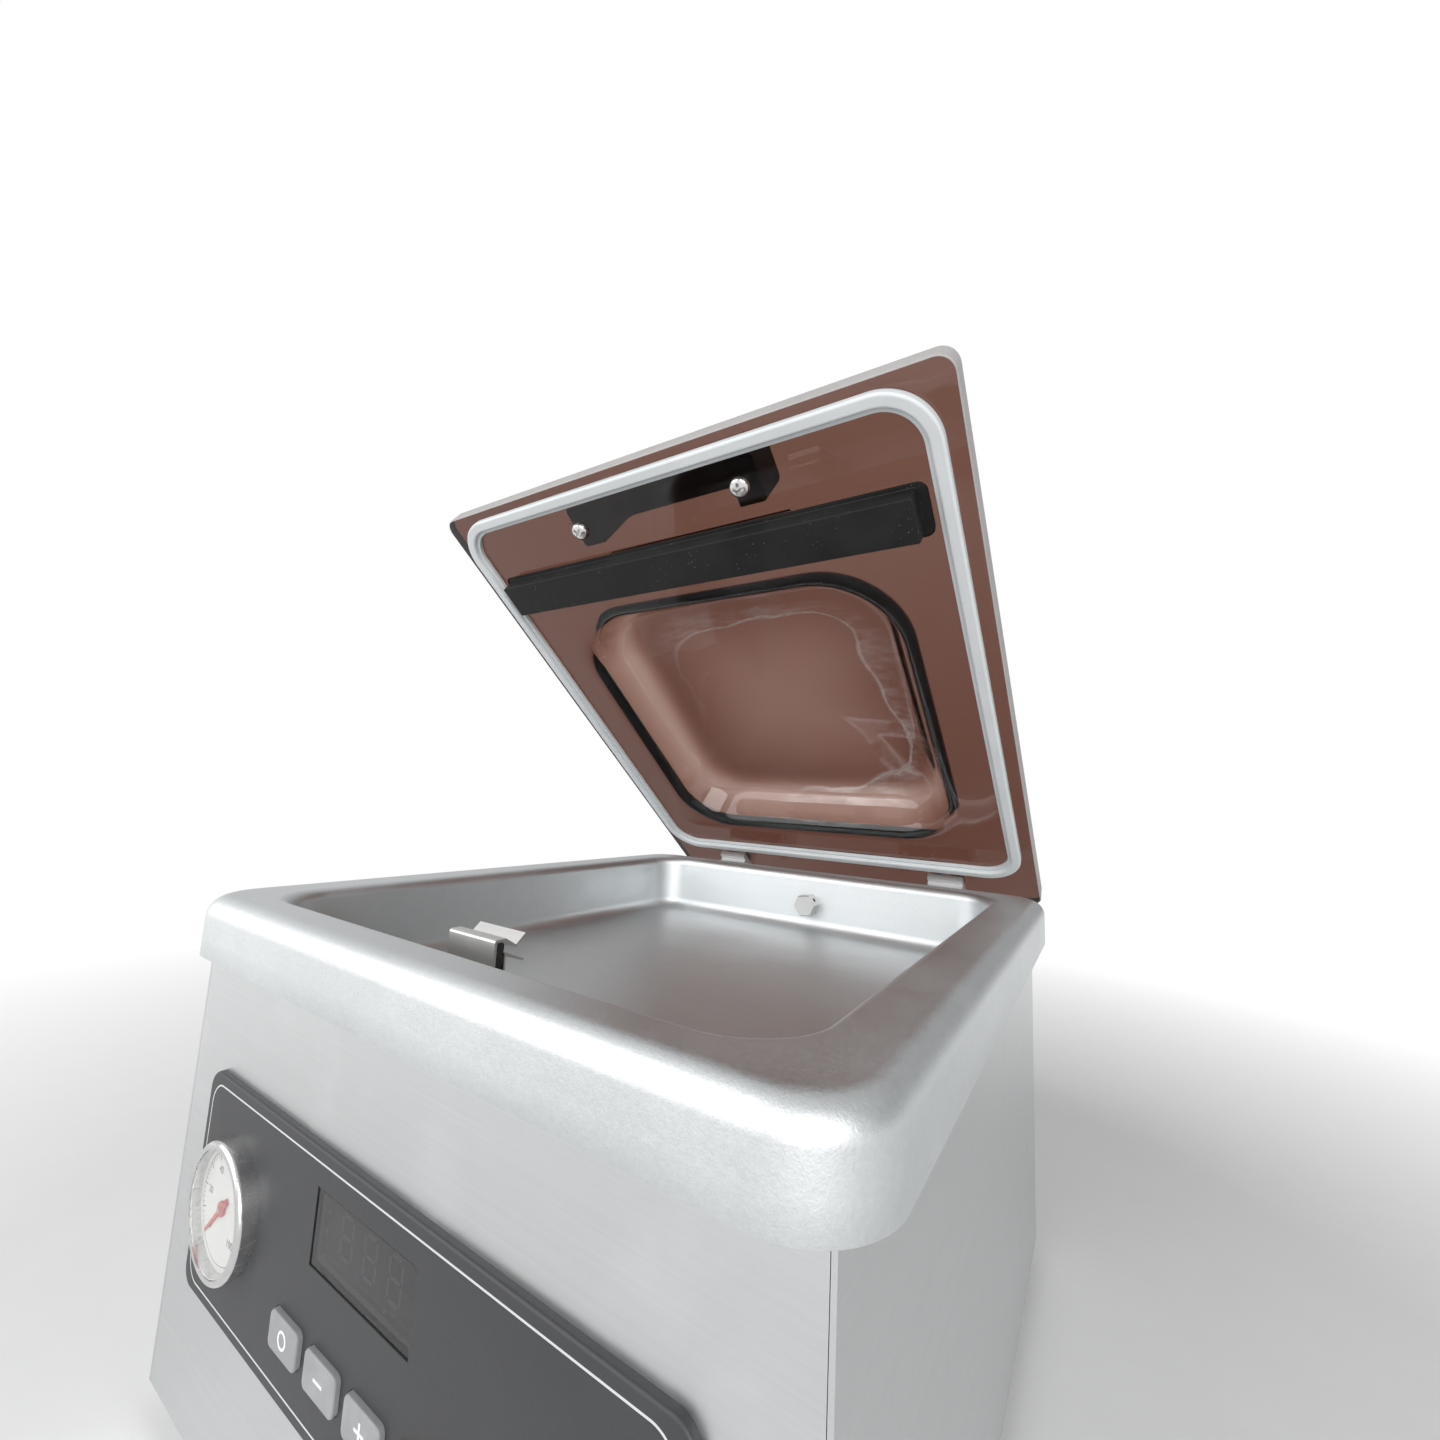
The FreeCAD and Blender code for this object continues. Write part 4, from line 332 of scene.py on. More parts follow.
def screw_tree():
    sizes = ["Head Radius", "Head Height", "Shank Radius", "Shank Length"]
    tree, start, given = new_tree("pan_head_screws", sizes)
    wide, tall, thick, long = [given[size] for size in sizes]
    ball = start.node("GeometryNodeMeshUVSphere", {}, {"Segments": 36, "Rings": 24, "Radius": 1.0})
    x, y, z = parted(start.node("GeometryNodeInputPosition"))
    moved = combined(start, x * wide, y * wide, start.maths("MAXIMUM", z, 0.0) ** 0.6 * tall)
    head = start.node("GeometryNodeSetPosition", {}, {"Geometry": ball, "Position": moved})
    cuts = []
    for reach, across in ((1.2, 0.3), (0.3, 1.2)):
        size = combined(start, wide * reach, wide * across, tall * 1.5)
        cut = start.node("GeometryNodeMeshCube", {}, {"Size": size})
        up = combined(start, z=tall)
        cuts.append(start.node("GeometryNodeTransform", {}, {"Geometry": cut, "Translation": up}))
    head = start.node("GeometryNodeMeshBoolean", {"operation": "DIFFERENCE", "solver": "EXACT"},
                      {"Mesh 1": head, "Mesh 2": cuts, "Self Intersection": True})
    shank = start.node("GeometryNodeMeshCylinder", {}, {"Vertices": 20, "Radius": thick, "Depth": long})
    down = combined(start, z=long * -0.5 + 0.00001)
    shank = start.node("GeometryNodeTransform", {}, {"Geometry": shank, "Translation": down})
    planted(start, given, start.node("GeometryNodeJoinGeometry", {}, {0: [head, shank]}), roll=3.0)
    return tree


SCREWS = screw_tree()
BACK = (0, 1, 0)
SMALL = {"Head Radius": 3.6, "Head Height": 2.4, "Shank Radius": 1.9, "Shank Length": 6.0}
LARGE = {"Head Radius": 5.8, "Head Height": 3.7, "Shank Radius": 2.4, "Shank Length": 6.0}
ZINC_PLATE = plated("zinc_plate")
REAR_FACE, TRAY_EDGE = 163.382, 20.0
seats = [((x, REAR_FACE, TRAY_EDGE), BACK) for x in (-154, 0, 154)]
grown("panel_screw_heads", SCREWS, seats, SMALL, ZINC_PLATE, "housing", "panel_screws")


# Vacuum pump and motor: cast finned pump body with a ribbed motor can bolted to its end.
# The casting is tumbled aluminium; the can is enamelled dark grey. Valve parts sit on the riser.
def cast_metal(name, tone, rough=0.42):
    finish, at = new_finish(name)
    sand = noise(at, 900, 3.0, 0.6)
    flow = noise(at, 40, 3.0)
    return shade(finish, blended(flow * 0.5 + sand * 0.5, lifted(tone, 0.82), tone),
                 rough + sand * 0.2, sand + flow * 0.5, 0.00018, 0.4, Metallic=0.95)


def enamel(name, tone):
    finish, at = new_finish(name)
    peel = noise(at, 480)
    age = ramped(noise(at, 24, 4.0), 0.4, 0.8)
    return shade(finish, blended(age, tone, lifted(tone, 1.35, 0.01)), 0.3 + age * 0.18, peel, 0.0001, 0.3)


dress("vacuum_pump", cast_metal("pump_casting", (0.60, 0.60, 0.61), 0.5))
dress("pump_motor", enamel("motor_enamel", (0.035, 0.04, 0.046)))
dress("valve_block", cast_metal("valve_brass", (0.72, 0.55, 0.28), 0.26))
dress("suction_elbow board_standoffs", cast_metal("turned_brass", (0.76, 0.59, 0.3), 0.22))


# Pump mounts: four waisted rubber bobbins between the pump's feet and the tray, to keep noise in.
# Moulded black rubber, bonded to the pump above and the tray below.
def corners(node):
    return [corner * 1000 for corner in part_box(node)]


BOBBIN = 10.0
low, high = corners("pump_mounts")
seats = [((x, y, low.z), UP) for x in (low.x + BOBBIN, high.x - BOBBIN)
         for y in (low.y + BOBBIN, high.y - BOBBIN)]
grown("pump_bobbins", PUCKS, seats, {"Radius": BOBBIN, "Height": high.z - low.z, "Taper": 0, "Waist": 2.0},
      rubber("bobbin_rubber", (0.018, 0.018, 0.018), (0.1, 0.1, 0.1)), "housing", "pump_mounts")


# Valve coils and hoses: two encapsulated coils on the valve block, and silicone hose to the fittings.
# The hose is extruded, slightly milky, and pushed on to barbs; its ends are fixed, so it keeps its line.
def moulded(name, tone, pitch=900, rough=0.45, depth=0.0001):
    finish, at = new_finish(name)
    pores = cells(at, pitch, "SMOOTH_F1")
    haze = noise(at, 30, 4.0)
    rub = ramped(noise(stretched(at, (60, 300, 60)), 1.0, 4.0), 0.6, 0.8)
    return shade(finish, blended(haze * 0.7 + rub * 0.3, tone, lifted(tone, 1.5, 0.006)),
                 rough + haze * 0.12 - rub * 0.1, pores, depth, 0.45)


def hose_silicone():
    finish, at = new_finish("milky_hose")
    bands = noise(at, 120, 4.0)
    return shade(finish, blended(bands, (0.42, 0.42, 0.4), (0.58, 0.58, 0.55)), 0.3 + bands * 0.2,
                 noise(at, 700), 0.0001, 0.2, Transmission_Weight=0.25, IOR=1.41)


def smoothed(form, sharp):
    for face in form.faces:
        face.smooth = True
    for edge in form.edges:
        if len(edge.link_faces) == 2:
            edge.smooth = edge.calc_face_angle(0.0) < math.radians(sharp)


def formed(name, form, finishes):
    mesh = bpy.data.meshes.new(name)
    form.to_mesh(mesh)
    form.free()
    for finish in finishes:
        mesh.materials.append(finish)
    return placed(name, mesh)


HOSE = hose_silicone()
dress("valve_coils", moulded("coil_resin", (0.016, 0.016, 0.018)))
for name, node in (("pump_hose", "suction_hose"), ("air_hoses", "lift_hoses")):
    form = bmesh.new()
    form.from_mesh(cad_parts[node].data)
    bmesh.ops.remove_doubles(form, verts=form.verts, dist=1e-6)
    smoothed(form, 32)
    fitted(formed(name, form, [HOSE]), "housing", node)


# Sealing transformer: stacked iron sheets with the enamelled copper winding round the middle leg.
# The stack shows its sheet edges as fine lines; the winding shows its layers of wire.
def transformer_finish():
    finish, at = new_finish("laminations_and_winding")
    near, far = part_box("seal_transformer")
    y, z = parted(at)[1:]
    wound = at.maths("ABSOLUTE", y - (near.y + far.y) / 2) > 0.0152
    sheets = at.maths("SINE", y * 9000.0) * 0.5 + 0.5
    turns = at.maths("SINE", z * 7000.0) * 0.5 + 0.5
    iron = blended(sheets, (0.05, 0.05, 0.052), (0.15, 0.15, 0.155))
    copper = blended(turns * 0.8 + noise(at, 60) * 0.2, (0.2, 0.06, 0.02), (0.6, 0.24, 0.1))
    return shade(finish, blended(wound, iron, copper), 0.55 - wound * 0.2,
                 sheets * (1 - wound) + turns * wound, 0.0003, 0.5, Metallic=wound * 0.8)


dress("seal_transformer", transformer_finish())


# Control board: lacquered glass-fibre board on brass pillars behind the front panel.
# Copper tracks run under the green lacquer; the display module and one switch per key face forward.
def board_finish():
    finish, at = new_finish("board_lacquer")
    upright = stretched(at, (1, 1, 1), (math.pi / 2, 0, 0))
    track = at.node("ShaderNodeTexBrick", {"offset": 0.4, "offset_frequency": 3},
                    {"Vector": upright, "Scale": 110.0, "Mortar Size": 0.05, "Brick Width": 1.3,
                     "Row Height": 0.34}, "Fac")
    module = parted(at)[1] < -0.1990
    pads = ramped(cells(at, 190), 0.24, 0.18) * (1 - module)
    tone = blended(track, (0.012, 0.085, 0.035), (0.03, 0.17, 0.06))
    black = blended(noise(at, 200), (0.008, 0.008, 0.009), (0.014, 0.014, 0.015))
    tone = blended(pads, blended(module, tone, black), (0.5, 0.5, 0.48))
    return shade(finish, tone, 0.22 + noise(at, 90) * 0.2, track * 0.5 + pads, 0.0001, 0.4,
                 Metallic=pads * 0.8)


dress("control_board", board_finish())


# Control fascia: moulded dark grey plate snapped on to the front panel, with a spark-eroded grain.
# A fine pale line is printed round its edge, set in from the corners.
FASCIA_Z = 116.0


def fascia_finish():
    finish, at = new_finish("fascia_grain")
    half_x, half_z, corner, thin, face = 0.128, 0.032, 0.0095, 0.00035, -0.2160
    x, y, z = parted(at)
    side = at.maths("MAXIMUM", at.maths("ABSOLUTE", x) - half_x, 0.0)
    end = at.maths("MAXIMUM", at.maths("ABSOLUTE", z - FASCIA_Z * MM) - half_z, 0.0)
    away = at.maths("SQRT", side * side + end * end)
    line = (at.maths("ABSOLUTE", away - corner) < thin) * (y < face)
    haze = noise(at, 26, 4.0)
    tone = blended(haze, (0.022, 0.023, 0.025), (0.036, 0.0375, 0.04))
    return shade(finish, blended(line * 0.8, tone, (0.62, 0.63, 0.63)), 0.42 + haze * 0.14,
                 cells(at, 1300, "SMOOTH_F1"), 0.0001, 0.45)


dress("control_fascia", fascia_finish())


# Display window: smoked acrylic snapped into the fascia, with three unlit digits behind it.
# Each digit is seven bars of pale plastic in a dark module, seen faintly through the window.
def smoked_window():
    finish, at = new_finish("smoked_acrylic")
    wipe = noise(stretched(at, (40, 40, 240)), 1.0, 4.0)
    return shade(finish, blended(wipe, (0.3, 0.3, 0.32), (0.34, 0.34, 0.36)),
                 0.03 + ramped(wipe, 0.5, 0.8) * 0.12, wipe, 0.00002, 0.2,
                 Transmission_Weight=1.0, IOR=1.49)


def bar_tree():
    sizes = ["Length", "Width", "Thickness"]
    tree, start, given = new_tree("printed_bars", sizes)
    size = combined(start, *[given[size] for size in sizes])
    bar = start.node("GeometryNodeMeshCube", {}, {"Size": size})
    stand = start.node("FunctionNodeEulerToRotation", {}, {"Euler": (math.pi / 2, 0.0, 0.0)})
    stand = start.node("FunctionNodeAlignRotationToVector", {"axis": "X", "pivot_axis": "Z"},
                       {"Rotation": stand, "Vector": given["Way"]})
    copied(start, given, bar, stand)
    return tree


def printed(name, tone):
    finish, at = new_finish(name)
    thin = noise(at, 1400, 3.0)
    return shade(finish, blended(thin, lifted(tone, 0.82), tone), 0.5 + thin * 0.1, thin, 0.00002, 0.3)


BARS = bar_tree()
SIDEWAYS = (1, 0, 0)
DIGIT_Y, DIGIT_Z, DIGIT_RISE, DIGIT_SIDE = -210.68, 136.0, 7.0, 3.8
segments = []
for x in (-16, 0, 16):
    for rise in (-DIGIT_RISE, 0, DIGIT_RISE):
        segments.append(((x, DIGIT_Y, DIGIT_Z + rise), SIDEWAYS))
    for side in (-DIGIT_SIDE, DIGIT_SIDE):
        for rise in (-DIGIT_RISE / 2, DIGIT_RISE / 2):
            segments.append(((x + side, DIGIT_Y, DIGIT_Z + rise), UP))
dress("display_window", smoked_window())
grown("display_digits", BARS, segments, {"Length": 5.4, "Width": 1.1, "Thickness": 0.1},
      printed("unlit_digit", (0.3, 0.29, 0.27)), "housing", "")


# Push keys: four moulded caps that slide through the fascia, three grey and a red one for stop.
# Their signs are raised and white: a ring to set, a minus, a plus and a square to stop.
def key_finish(name, tone):
    finish, at = new_finish(name)
    worn = ramped(noise(at, 90, 4.0), 0.45, 0.75)
    return shade(finish, blended(worn, tone, lifted(tone, 1.12, 0.01)), 0.48 - worn * 0.14,
                 cells(at, 1500, "SMOOTH_F1"), 0.00008, 0.4)


def stacked(form, rings, closed=False):
    loops = [[form.verts.new(p) for p in points] for points in rings]
    for a, b in zip(loops, loops[1:] + (loops[:1] if closed else [])):
        for i in range(len(a)):
            form.faces.new((a[i - 1], a[i], b[i], b[i - 1]))
    return loops


def ended(form, loops):
    form.faces.new(loops[0])
    form.faces.new(loops[-1][::-1])


def flat_mark(name, shapes, body, turn=None):
    form = bmesh.new()
    for front in shapes:
        back = [[p + Vector((0, SIGN_DEPTH, 0)) for p in loop] for loop in front[::-1]]
        loops = stacked(form, front + back, closed=len(front) == 2)
        if len(front) == 1:
            ended(form, loops)
    if turn is not None:
        bmesh.ops.transform(form, matrix=turn, verts=form.verts)
    bmesh.ops.scale(form, vec=(MM, MM, MM), verts=form.verts)
    bmesh.ops.recalc_face_normals(form, faces=form.faces)
    return fitted(formed(name, form, [SIGN]), body, "")


def strip(x, y, z, half_x, half_z):
    spots = ((-1, -1), (1, -1), (1, 1), (-1, 1))
    return [[Vector((x + right * half_x, y, z + up * half_z)) for right, up in spots]]


def hoop(x, y, z, outer, inner, sides):
    turns = [2 * math.pi * (i + 0.5) / sides for i in range(sides)]
    return [[Vector((x + r * math.cos(a), y, z + r * math.sin(a))) for a in turns] for r in (outer, inner)]


KEY_FACE, KEY_Z, SIGN_DEPTH = -218.168, 94.0, 0.12
SET_X, MINUS_X, PLUS_X, STOP_X = -42.0, -14.0, 14.0, 42.0
SIGN = printed("key_sign", (0.86, 0.86, 0.85))
dress("set_key minus_key plus_key", key_finish("grey_key", (0.25, 0.255, 0.26)))
dress("stop_key", key_finish("red_key", (0.42, 0.03, 0.025)))
flat_mark("set_sign", [hoop(SET_X, KEY_FACE, KEY_Z, 3.2, 2.3, 32)], "set_key")
flat_mark("minus_sign", [strip(MINUS_X, KEY_FACE, KEY_Z, 3.0, 0.5)], "minus_key")
plus = [strip(PLUS_X, KEY_FACE, KEY_Z, 3.0, 0.5), strip(PLUS_X, KEY_FACE - 0.01, KEY_Z, 0.5, 3.0)]
flat_mark("plus_sign", plus, "plus_key")
flat_mark("stop_sign", [strip(STOP_X, KEY_FACE, KEY_Z, 2.3, 2.3)], "stop_key")


# Vacuum gauge: plated case with a turned bezel, white dial, red pointer and a flat clear lens.
# The scale is printed on the dial: fifty-one fine marks, eleven long ones, and plain numbers.
DIAL_X, DIAL_Y = -104.0, -217.918


def dial_finish():
    finish, at = new_finish("dial_enamel")
    centre = at.node("ShaderNodeVectorMath", {"operation": "SUBTRACT"},
                     {0: at, 1: (DIAL_X * MM, DIAL_Y * MM, FASCIA_Z * MM)})
    away = at.node("ShaderNodeVectorMath", {"operation": "LENGTH"}, {0: centre}, "Value")
    line = at.maths("ABSOLUTE", away - 0.0215) < 0.00014
    grain = noise(at, 500, 3.0)
    paper = blended(grain, (0.80, 0.80, 0.77), (0.86, 0.86, 0.84))
    return shade(finish, blended(line, paper, (0.03, 0.03, 0.03)), 0.45 + grain * 0.1, grain, 0.00004, 0.2)


def clear_lens():
    finish, at = new_finish("clear_lens")
    smear = noise(stretched(at, (90, 90, 30)), 1.0, 4.0)
    return shade(finish, blended(smear, (0.97, 0.98, 0.98), (1.0, 1.0, 1.0)),
                 ramped(smear, 0.5, 0.9) * 0.08, smear, 0.00001, 0.1, Transmission_Weight=1.0, IOR=1.46)


def spoke(turn, r):
    return (DIAL_X + r * math.sin(turn), DIAL_Y - 0.02, FASCIA_Z + r * math.cos(turn))


def dial_marks(name, turns, r, long, wide, thick):
    seats = [(spoke(a, r), (math.sin(a), 0, math.cos(a))) for a in turns]
    sizes = {"Length": long, "Width": wide, "Thickness": thick}
    grown(name, BARS, seats, sizes, PRINT, "housing", "")


PRINT = printed("dial_print", (0.03, 0.03, 0.03))
turns = [math.radians(225 + 270 * i / 50) for i in range(51)]
dress("gauge_case", plated("gauge_plate", (0.74, 0.74, 0.74)))
dress("gauge_dial", dial_finish())
dress("gauge_lens", clear_lens())
dress("gauge_needle", enamel("pointer_red", (0.5, 0.03, 0.02)))
dial_marks("dial_fine_marks", turns, 20.6, 1.7, 0.22, 0.06)
dial_marks("dial_long_marks", turns[::5], 19.9, 3.2, 0.45, 0.07)
form = bmesh.new()
for i in range(6):
    script = bpy.data.curves.new("number", "FONT")
    script.body, script.size, script.extrude = str(20 * i), 0.0042, 0.00003
    script.align_x, script.align_y = "CENTER", "CENTER"
    writer = placed("number", script)
    plain = bpy.data.meshes.new_from_object(writer.evaluated_get(bpy.context.evaluated_depsgraph_get()))
    place = Vector(spoke(turns[i * 10], 14.6)) * MM
    plain.transform(Matrix.Translation(place) @ Matrix.Rotation(math.pi / 2, 4, "X"))
    form.from_mesh(plain)
    bpy.data.objects.remove(writer)
    bpy.data.meshes.remove(plain)
fitted(formed("dial_numbers", form, [PRINT]), "housing", "")


# Power switch: black moulded frame snapped into the fascia, with a rocker on its own axle.
# The rocker's two faces carry a bar and a ring, moulded in white.
dress("switch_body", moulded("switch_plastic", (0.014, 0.014, 0.015), 1200, 0.3))
dress("power_rocker", moulded("rocker_plastic", (0.02, 0.02, 0.021), 1600, 0.26, 0.00004))
PIVOT_X, PIVOT_Y, ROCKER_TILT = 106.0, -214.618, 9.0
ROCKER_FACE, ROCKER_RISE, ROCKER_HALF = 3.6, 1.9, 10.3
pivot = Matrix.Translation((PIVOT_X, PIVOT_Y, FASCIA_Z))
pivot = pivot @ Matrix.Rotation(math.radians(ROCKER_TILT), 4, "X")
for name, end, mark in (("rocker_bar", 1, strip(0, 0, 0, 0.45, 1.8)),
                        ("rocker_ring", -1, hoop(0, 0, 0, 1.9, 1.25, 28))):
    lean = Matrix.Rotation(math.atan2(ROCKER_RISE, ROCKER_HALF) * end, 4, "X")
    seat = (0, -ROCKER_FACE - ROCKER_RISE * 0.55 - SIGN_DEPTH, end * ROCKER_HALF * 0.55)
    flat_mark(name, [mark], "power_rocker", pivot @ Matrix.Translation(seat) @ lean)


# Power inlet: black moulded socket for a mains lead, snapped into the rear panel.
# Three pins stand in its mouth; no lead is plugged in.
dress("power_inlet", moulded("inlet_plastic", (0.015, 0.015, 0.016), 1100, 0.34))


# Chamber pan: chamber, rolled mouth, flat rim and skirt pressed from one stainless sheet.
# Its satin surface is peened to a fine sparkling grain, with smudges where bags slide over it.
def ring(half, front, rear, r_front, r_rear, z, corner, side=1):
    points = []
    for sign, end, r, begin in ((1, front, r_front, -90), (1, rear, r_rear, 0),
                                (-1, rear, r_rear, 90), (-1, front, r_front, 180)):
        r = max(r, 0.5)
        x0, y0 = sign * (half - r), end + (r if end == front else -r)
        for i in range(corner + 1):
            a = math.radians(begin + 90 * i / corner)
            points.append(Vector((x0 + r * math.cos(a), y0 + r * math.sin(a), z)))
    dense = []
    for i, p in enumerate(points):
        dense.append(p)
        if i % (corner + 1) == corner:
            q = points[(i + 1) % len(points)]
            dense += [p.lerp(q, k / side) for k in range(1, side)]
    return dense


def inset(outline, by, z, corner=14):
    half, front, rear, r = outline
    return ring(half - by, front + by, rear - by, r - by, r - by, z, corner)


def settled(name, form, finishes, body, stands_for, sharp=35.0, outward=True):
    bmesh.ops.scale(form, vec=(MM, MM, MM), verts=form.verts)
    bmesh.ops.remove_doubles(form, verts=form.verts, dist=1e-7)
    if outward:
        bmesh.ops.recalc_face_normals(form, faces=form.faces)
    smoothed(form, sharp)
    made = formed(name, form, finishes)
    level = made.modifiers.new("level", "WEIGHTED_NORMAL")
    level.mode, level.weight, level.keep_sharp = "FACE_AREA", 100, True
    return fitted(made, body, stands_for)


def pan_finish():
    finish, at = new_finish("peened_stainless")
    grain = noise(at, 620, 3.0, 0.65)
    fleck = noise(at, 1700)
    wave = noise(at, 34)
    smudge = ramped(noise(at, 13, 5.0, 0.6), 0.42, 0.72)
    line = noise(stretched(at, (4, 160, 160)), 1.0, 3.0)
    grey = grain * 0.4 + fleck * 0.25 + line * 0.2 + wave * 0.15
    return shade(finish, blended(grey, (0.54, 0.56, 0.568), (0.75, 0.775, 0.785)),
                 0.38 + grain * 0.14 + smudge * 0.1, grain * 0.55 + fleck * 0.45 + wave * 0.6, 0.00022, 0.5,
                 Metallic=1.0)


PAN = (182.0, -223.118, 173.382, 28.0)
MOUTH = (150.5, -198.118, 145.882, 28.0)
SKIRT_FOOT, SKIRT_TOP, RIM, WALL_TOP, FLOOR = 212.0, 221.0, 240.0, 230.0, 194.0
RIM_ROLL, MOUTH_ROLL, FLOOR_ROLL, DRAFT, SHEET = 9.0, 6.0, 9.0, 1.3, 1.5
quarter = [math.radians(90 * i / 8) for i in range(9)]
rings = [inset(PAN, 0, SKIRT_FOOT), inset(PAN, 0, SKIRT_TOP)]
rings += [inset(PAN, RIM_ROLL * (1 - math.cos(a)), RIM - RIM_ROLL * (1 - math.sin(a))) for a in quarter]
rings += [inset(MOUTH, MOUTH_ROLL * (math.sin(a) - 1), RIM - MOUTH_ROLL * (1 - math.cos(a)))
          for a in quarter]
rings += [inset(MOUTH, 0, WALL_TOP), inset(MOUTH, DRAFT, FLOOR + FLOOR_ROLL)]
rings += [inset(MOUTH, DRAFT + FLOOR_ROLL * (1 - math.cos(a)), FLOOR + FLOOR_ROLL * (1 - math.sin(a)))
          for a in quarter[1:]]
form = bmesh.new()
loops = stacked(form, rings)
form.faces.new(loops[-1])
bmesh.ops.recalc_face_normals(form, faces=form.faces)
if max(form.faces, key=lambda face: face.calc_area()).normal.z < 0:
    bmesh.ops.reverse_faces(form, faces=form.faces)
pan = settled("drawn_pan", form, [pan_finish()], "housing", "chamber_pan", outward=False)
wall = pan.modifiers.new("sheet", "SOLIDIFY")
wall.thickness, wall.offset, wall.use_even_offset = SHEET * MM, -1.0, True
pan.modifiers.move(1, 0)


# Suction nozzle: small hexagonal steel cap on the rear wall, screwed on until it is tight, so it stands
# a few degrees off level. Air leaves through a cross hole drilled from flat to flat; its bore is painted
# shade, near-black.
def flat(form, loops):
    edges = []
    for loop in loops:
        for pair in zip(loop, loop[1:] + loop[:1]):
            edges.append(form.edges.get(pair) or form.edges.new(pair))
    bmesh.ops.triangle_fill(form, use_beauty=True, use_dissolve=False, edges=edges)


def hexagon(flats, y):
    spots = [math.radians(CAP_TURN + 60 * i) for i in range(6)]
    r = flats / math.sqrt(3)
    return [Vector((hub.x + r * math.cos(a), y, hub.z + r * math.sin(a))) for a in spots]


CAP_FLATS, CAP_TURN, CAP_BEVEL, CAP_HOLE = 16.5, 7.0, 0.6, 1.6
low, high = corners("suction_nozzle")
hub = (low + high) / 2
form = bmesh.new()
lean = math.radians(CAP_TURN + 30)
out, along = Vector((math.cos(lean), 0, math.sin(lean))), Vector((-math.sin(lean), 0, math.cos(lean)))
spread = [2 * math.pi * i / 24 for i in range(24)]
hole = [hub + along * (CAP_HOLE * math.cos(a)) + Vector((0, CAP_HOLE * math.sin(a), 0)) for a in spread]
bore = stacked(form, [[p + out * (side * CAP_FLATS / 2) for p in hole] for side in (1, -1)])
# The bore's faces take the second finish, near-black steel as painted shade.
for face in form.faces:
    face.material_index = 1
levels = ((CAP_FLATS, high.y), (CAP_FLATS, low.y + CAP_BEVEL), (CAP_FLATS - 2 * CAP_BEVEL, low.y))
foot, brow, front = [[form.verts.new(p) for p in hexagon(flats, y)] for flats, y in levels]
form.faces.new(foot)
form.faces.new(front)
for i in range(6):
    j = (i + 1) % 6
    form.faces.new((brow[i], brow[j], front[j], front[i]))
    if i % 3:
        form.faces.new((foot[i], foot[j], brow[j], brow[i]))
    else:
        flat(form, [[foot[i], foot[j], brow[j], brow[i]], bore[i // 3]])
TURNED = brushed("turned_steel", (0.56, 0.56, 0.55), "y")
settled("nozzle_cap", form, [TURNED, cast_metal("bore_shadow", (0.03, 0.03, 0.03), 0.6)], "housing",
        "suction_nozzle")


# Lift fittings: nuts that clamp the two lift cylinders' necks to the chamber floor,
# and the cast cylinders below it that raise the seal bar.
dress("lift_gland_nuts", brushed("nut_steel", (0.62, 0.62, 0.61), "z", 0.26))
dress("lift_cylinders", cast_metal("cylinder_casting", (0.58, 0.58, 0.59)))


# Bag clip: a folded stainless plate and a sprung leaf screwed to the chamber floor.
# A ribbed black rubber strip inside the fold keeps the bag's edge from slipping.
dress("bag_clip_plate bag_clip_leaf", brushed("clip_steel", (0.68, 0.675, 0.66), "x"))
RIBS, RIB_TOP, RIB_ROOT, STRIP_EASE = 9, 0.05, 0.8, 0.4
low, high = corners("bag_clip_grip")
section = [(low.y, low.z), (low.y, high.z - STRIP_EASE)]
section += [(low.y + STRIP_EASE, high.z), (high.y - RIB_ROOT, high.z)]
drop = (high.z - low.z) / RIBS
for i in range(RIBS):
    for depth, down in ((RIB_TOP, 0.2), (RIB_TOP, 0.6), (RIB_ROOT, 0.95)):
        section.append((high.y - depth, high.z - drop * (i + down)))
section.append((high.y - RIB_ROOT, low.z))
form = bmesh.new()
ended(form, stacked(form, [[(x, y, z) for y, z in section] for x in (low.x, high.x)]))
settled("clip_strip", form, [rubber("clip_rubber", (0.016, 0.016, 0.016), (0.1, 0.1, 0.1))], "housing",
        "bag_clip_grip", 25.0)
CLIP_Y, CLIP_TOP = -171.418, 196.0
seats = [((x, CLIP_Y, CLIP_TOP), UP) for x in (-9, 9)]
grown("clip_screw_heads", SCREWS, seats, SMALL, ZINC_PLATE, "housing", "bag_clip_screws")


# Seal bar: extruded anodised bar on two ground rods, with the heating ribbon along its top.
# Brass blocks hold the ribbon's ends; brown non-stick glass cloth is stuck over it all.
BAR_Y, BAR_TOP, TAPE_TOP, TAPE_HEM = -153.418, 212.3, 213.0, 206.3


def woven_tape():
    finish, at = new_finish("coated_glass_cloth")
    x, y, z = parted(at)
    warp = at.maths("SINE", x * 7850.0)
    weft = at.maths("SINE", (y + z) * 7850.0)
    weave = at.maths("ABSOLUTE", warp * weft)
    heat = ramped(at.maths("ABSOLUTE", y - BAR_Y * MM), 0.004, 0.0015)
    heat = heat * ramped(noise(at, 45, 4.0), 0.3, 0.7)
    tone = blended(weave * 0.6 + noise(at, 30, 3.0) * 0.4, (0.2, 0.12, 0.06), (0.42, 0.28, 0.15))
    return shade(finish, blended(heat * 0.5, tone, (0.12, 0.065, 0.03)), 0.36 + weave * 0.2, weave, 0.0001,
                 0.6)


def tape_section(x, lift):
    half = [(2.0, BAR_TOP + 0.42), (7.02, BAR_TOP + 0.02), (7.02, TAPE_HEM), (7.3, TAPE_HEM)]
    half += [(7.3, BAR_TOP - 0.3), (6.9, BAR_TOP + 0.2 + lift), (2.0, TAPE_TOP)]
    return [(x, BAR_Y - y, z) for y, z in half] + [(x, BAR_Y + y, z) for y, z in half[::-1]]


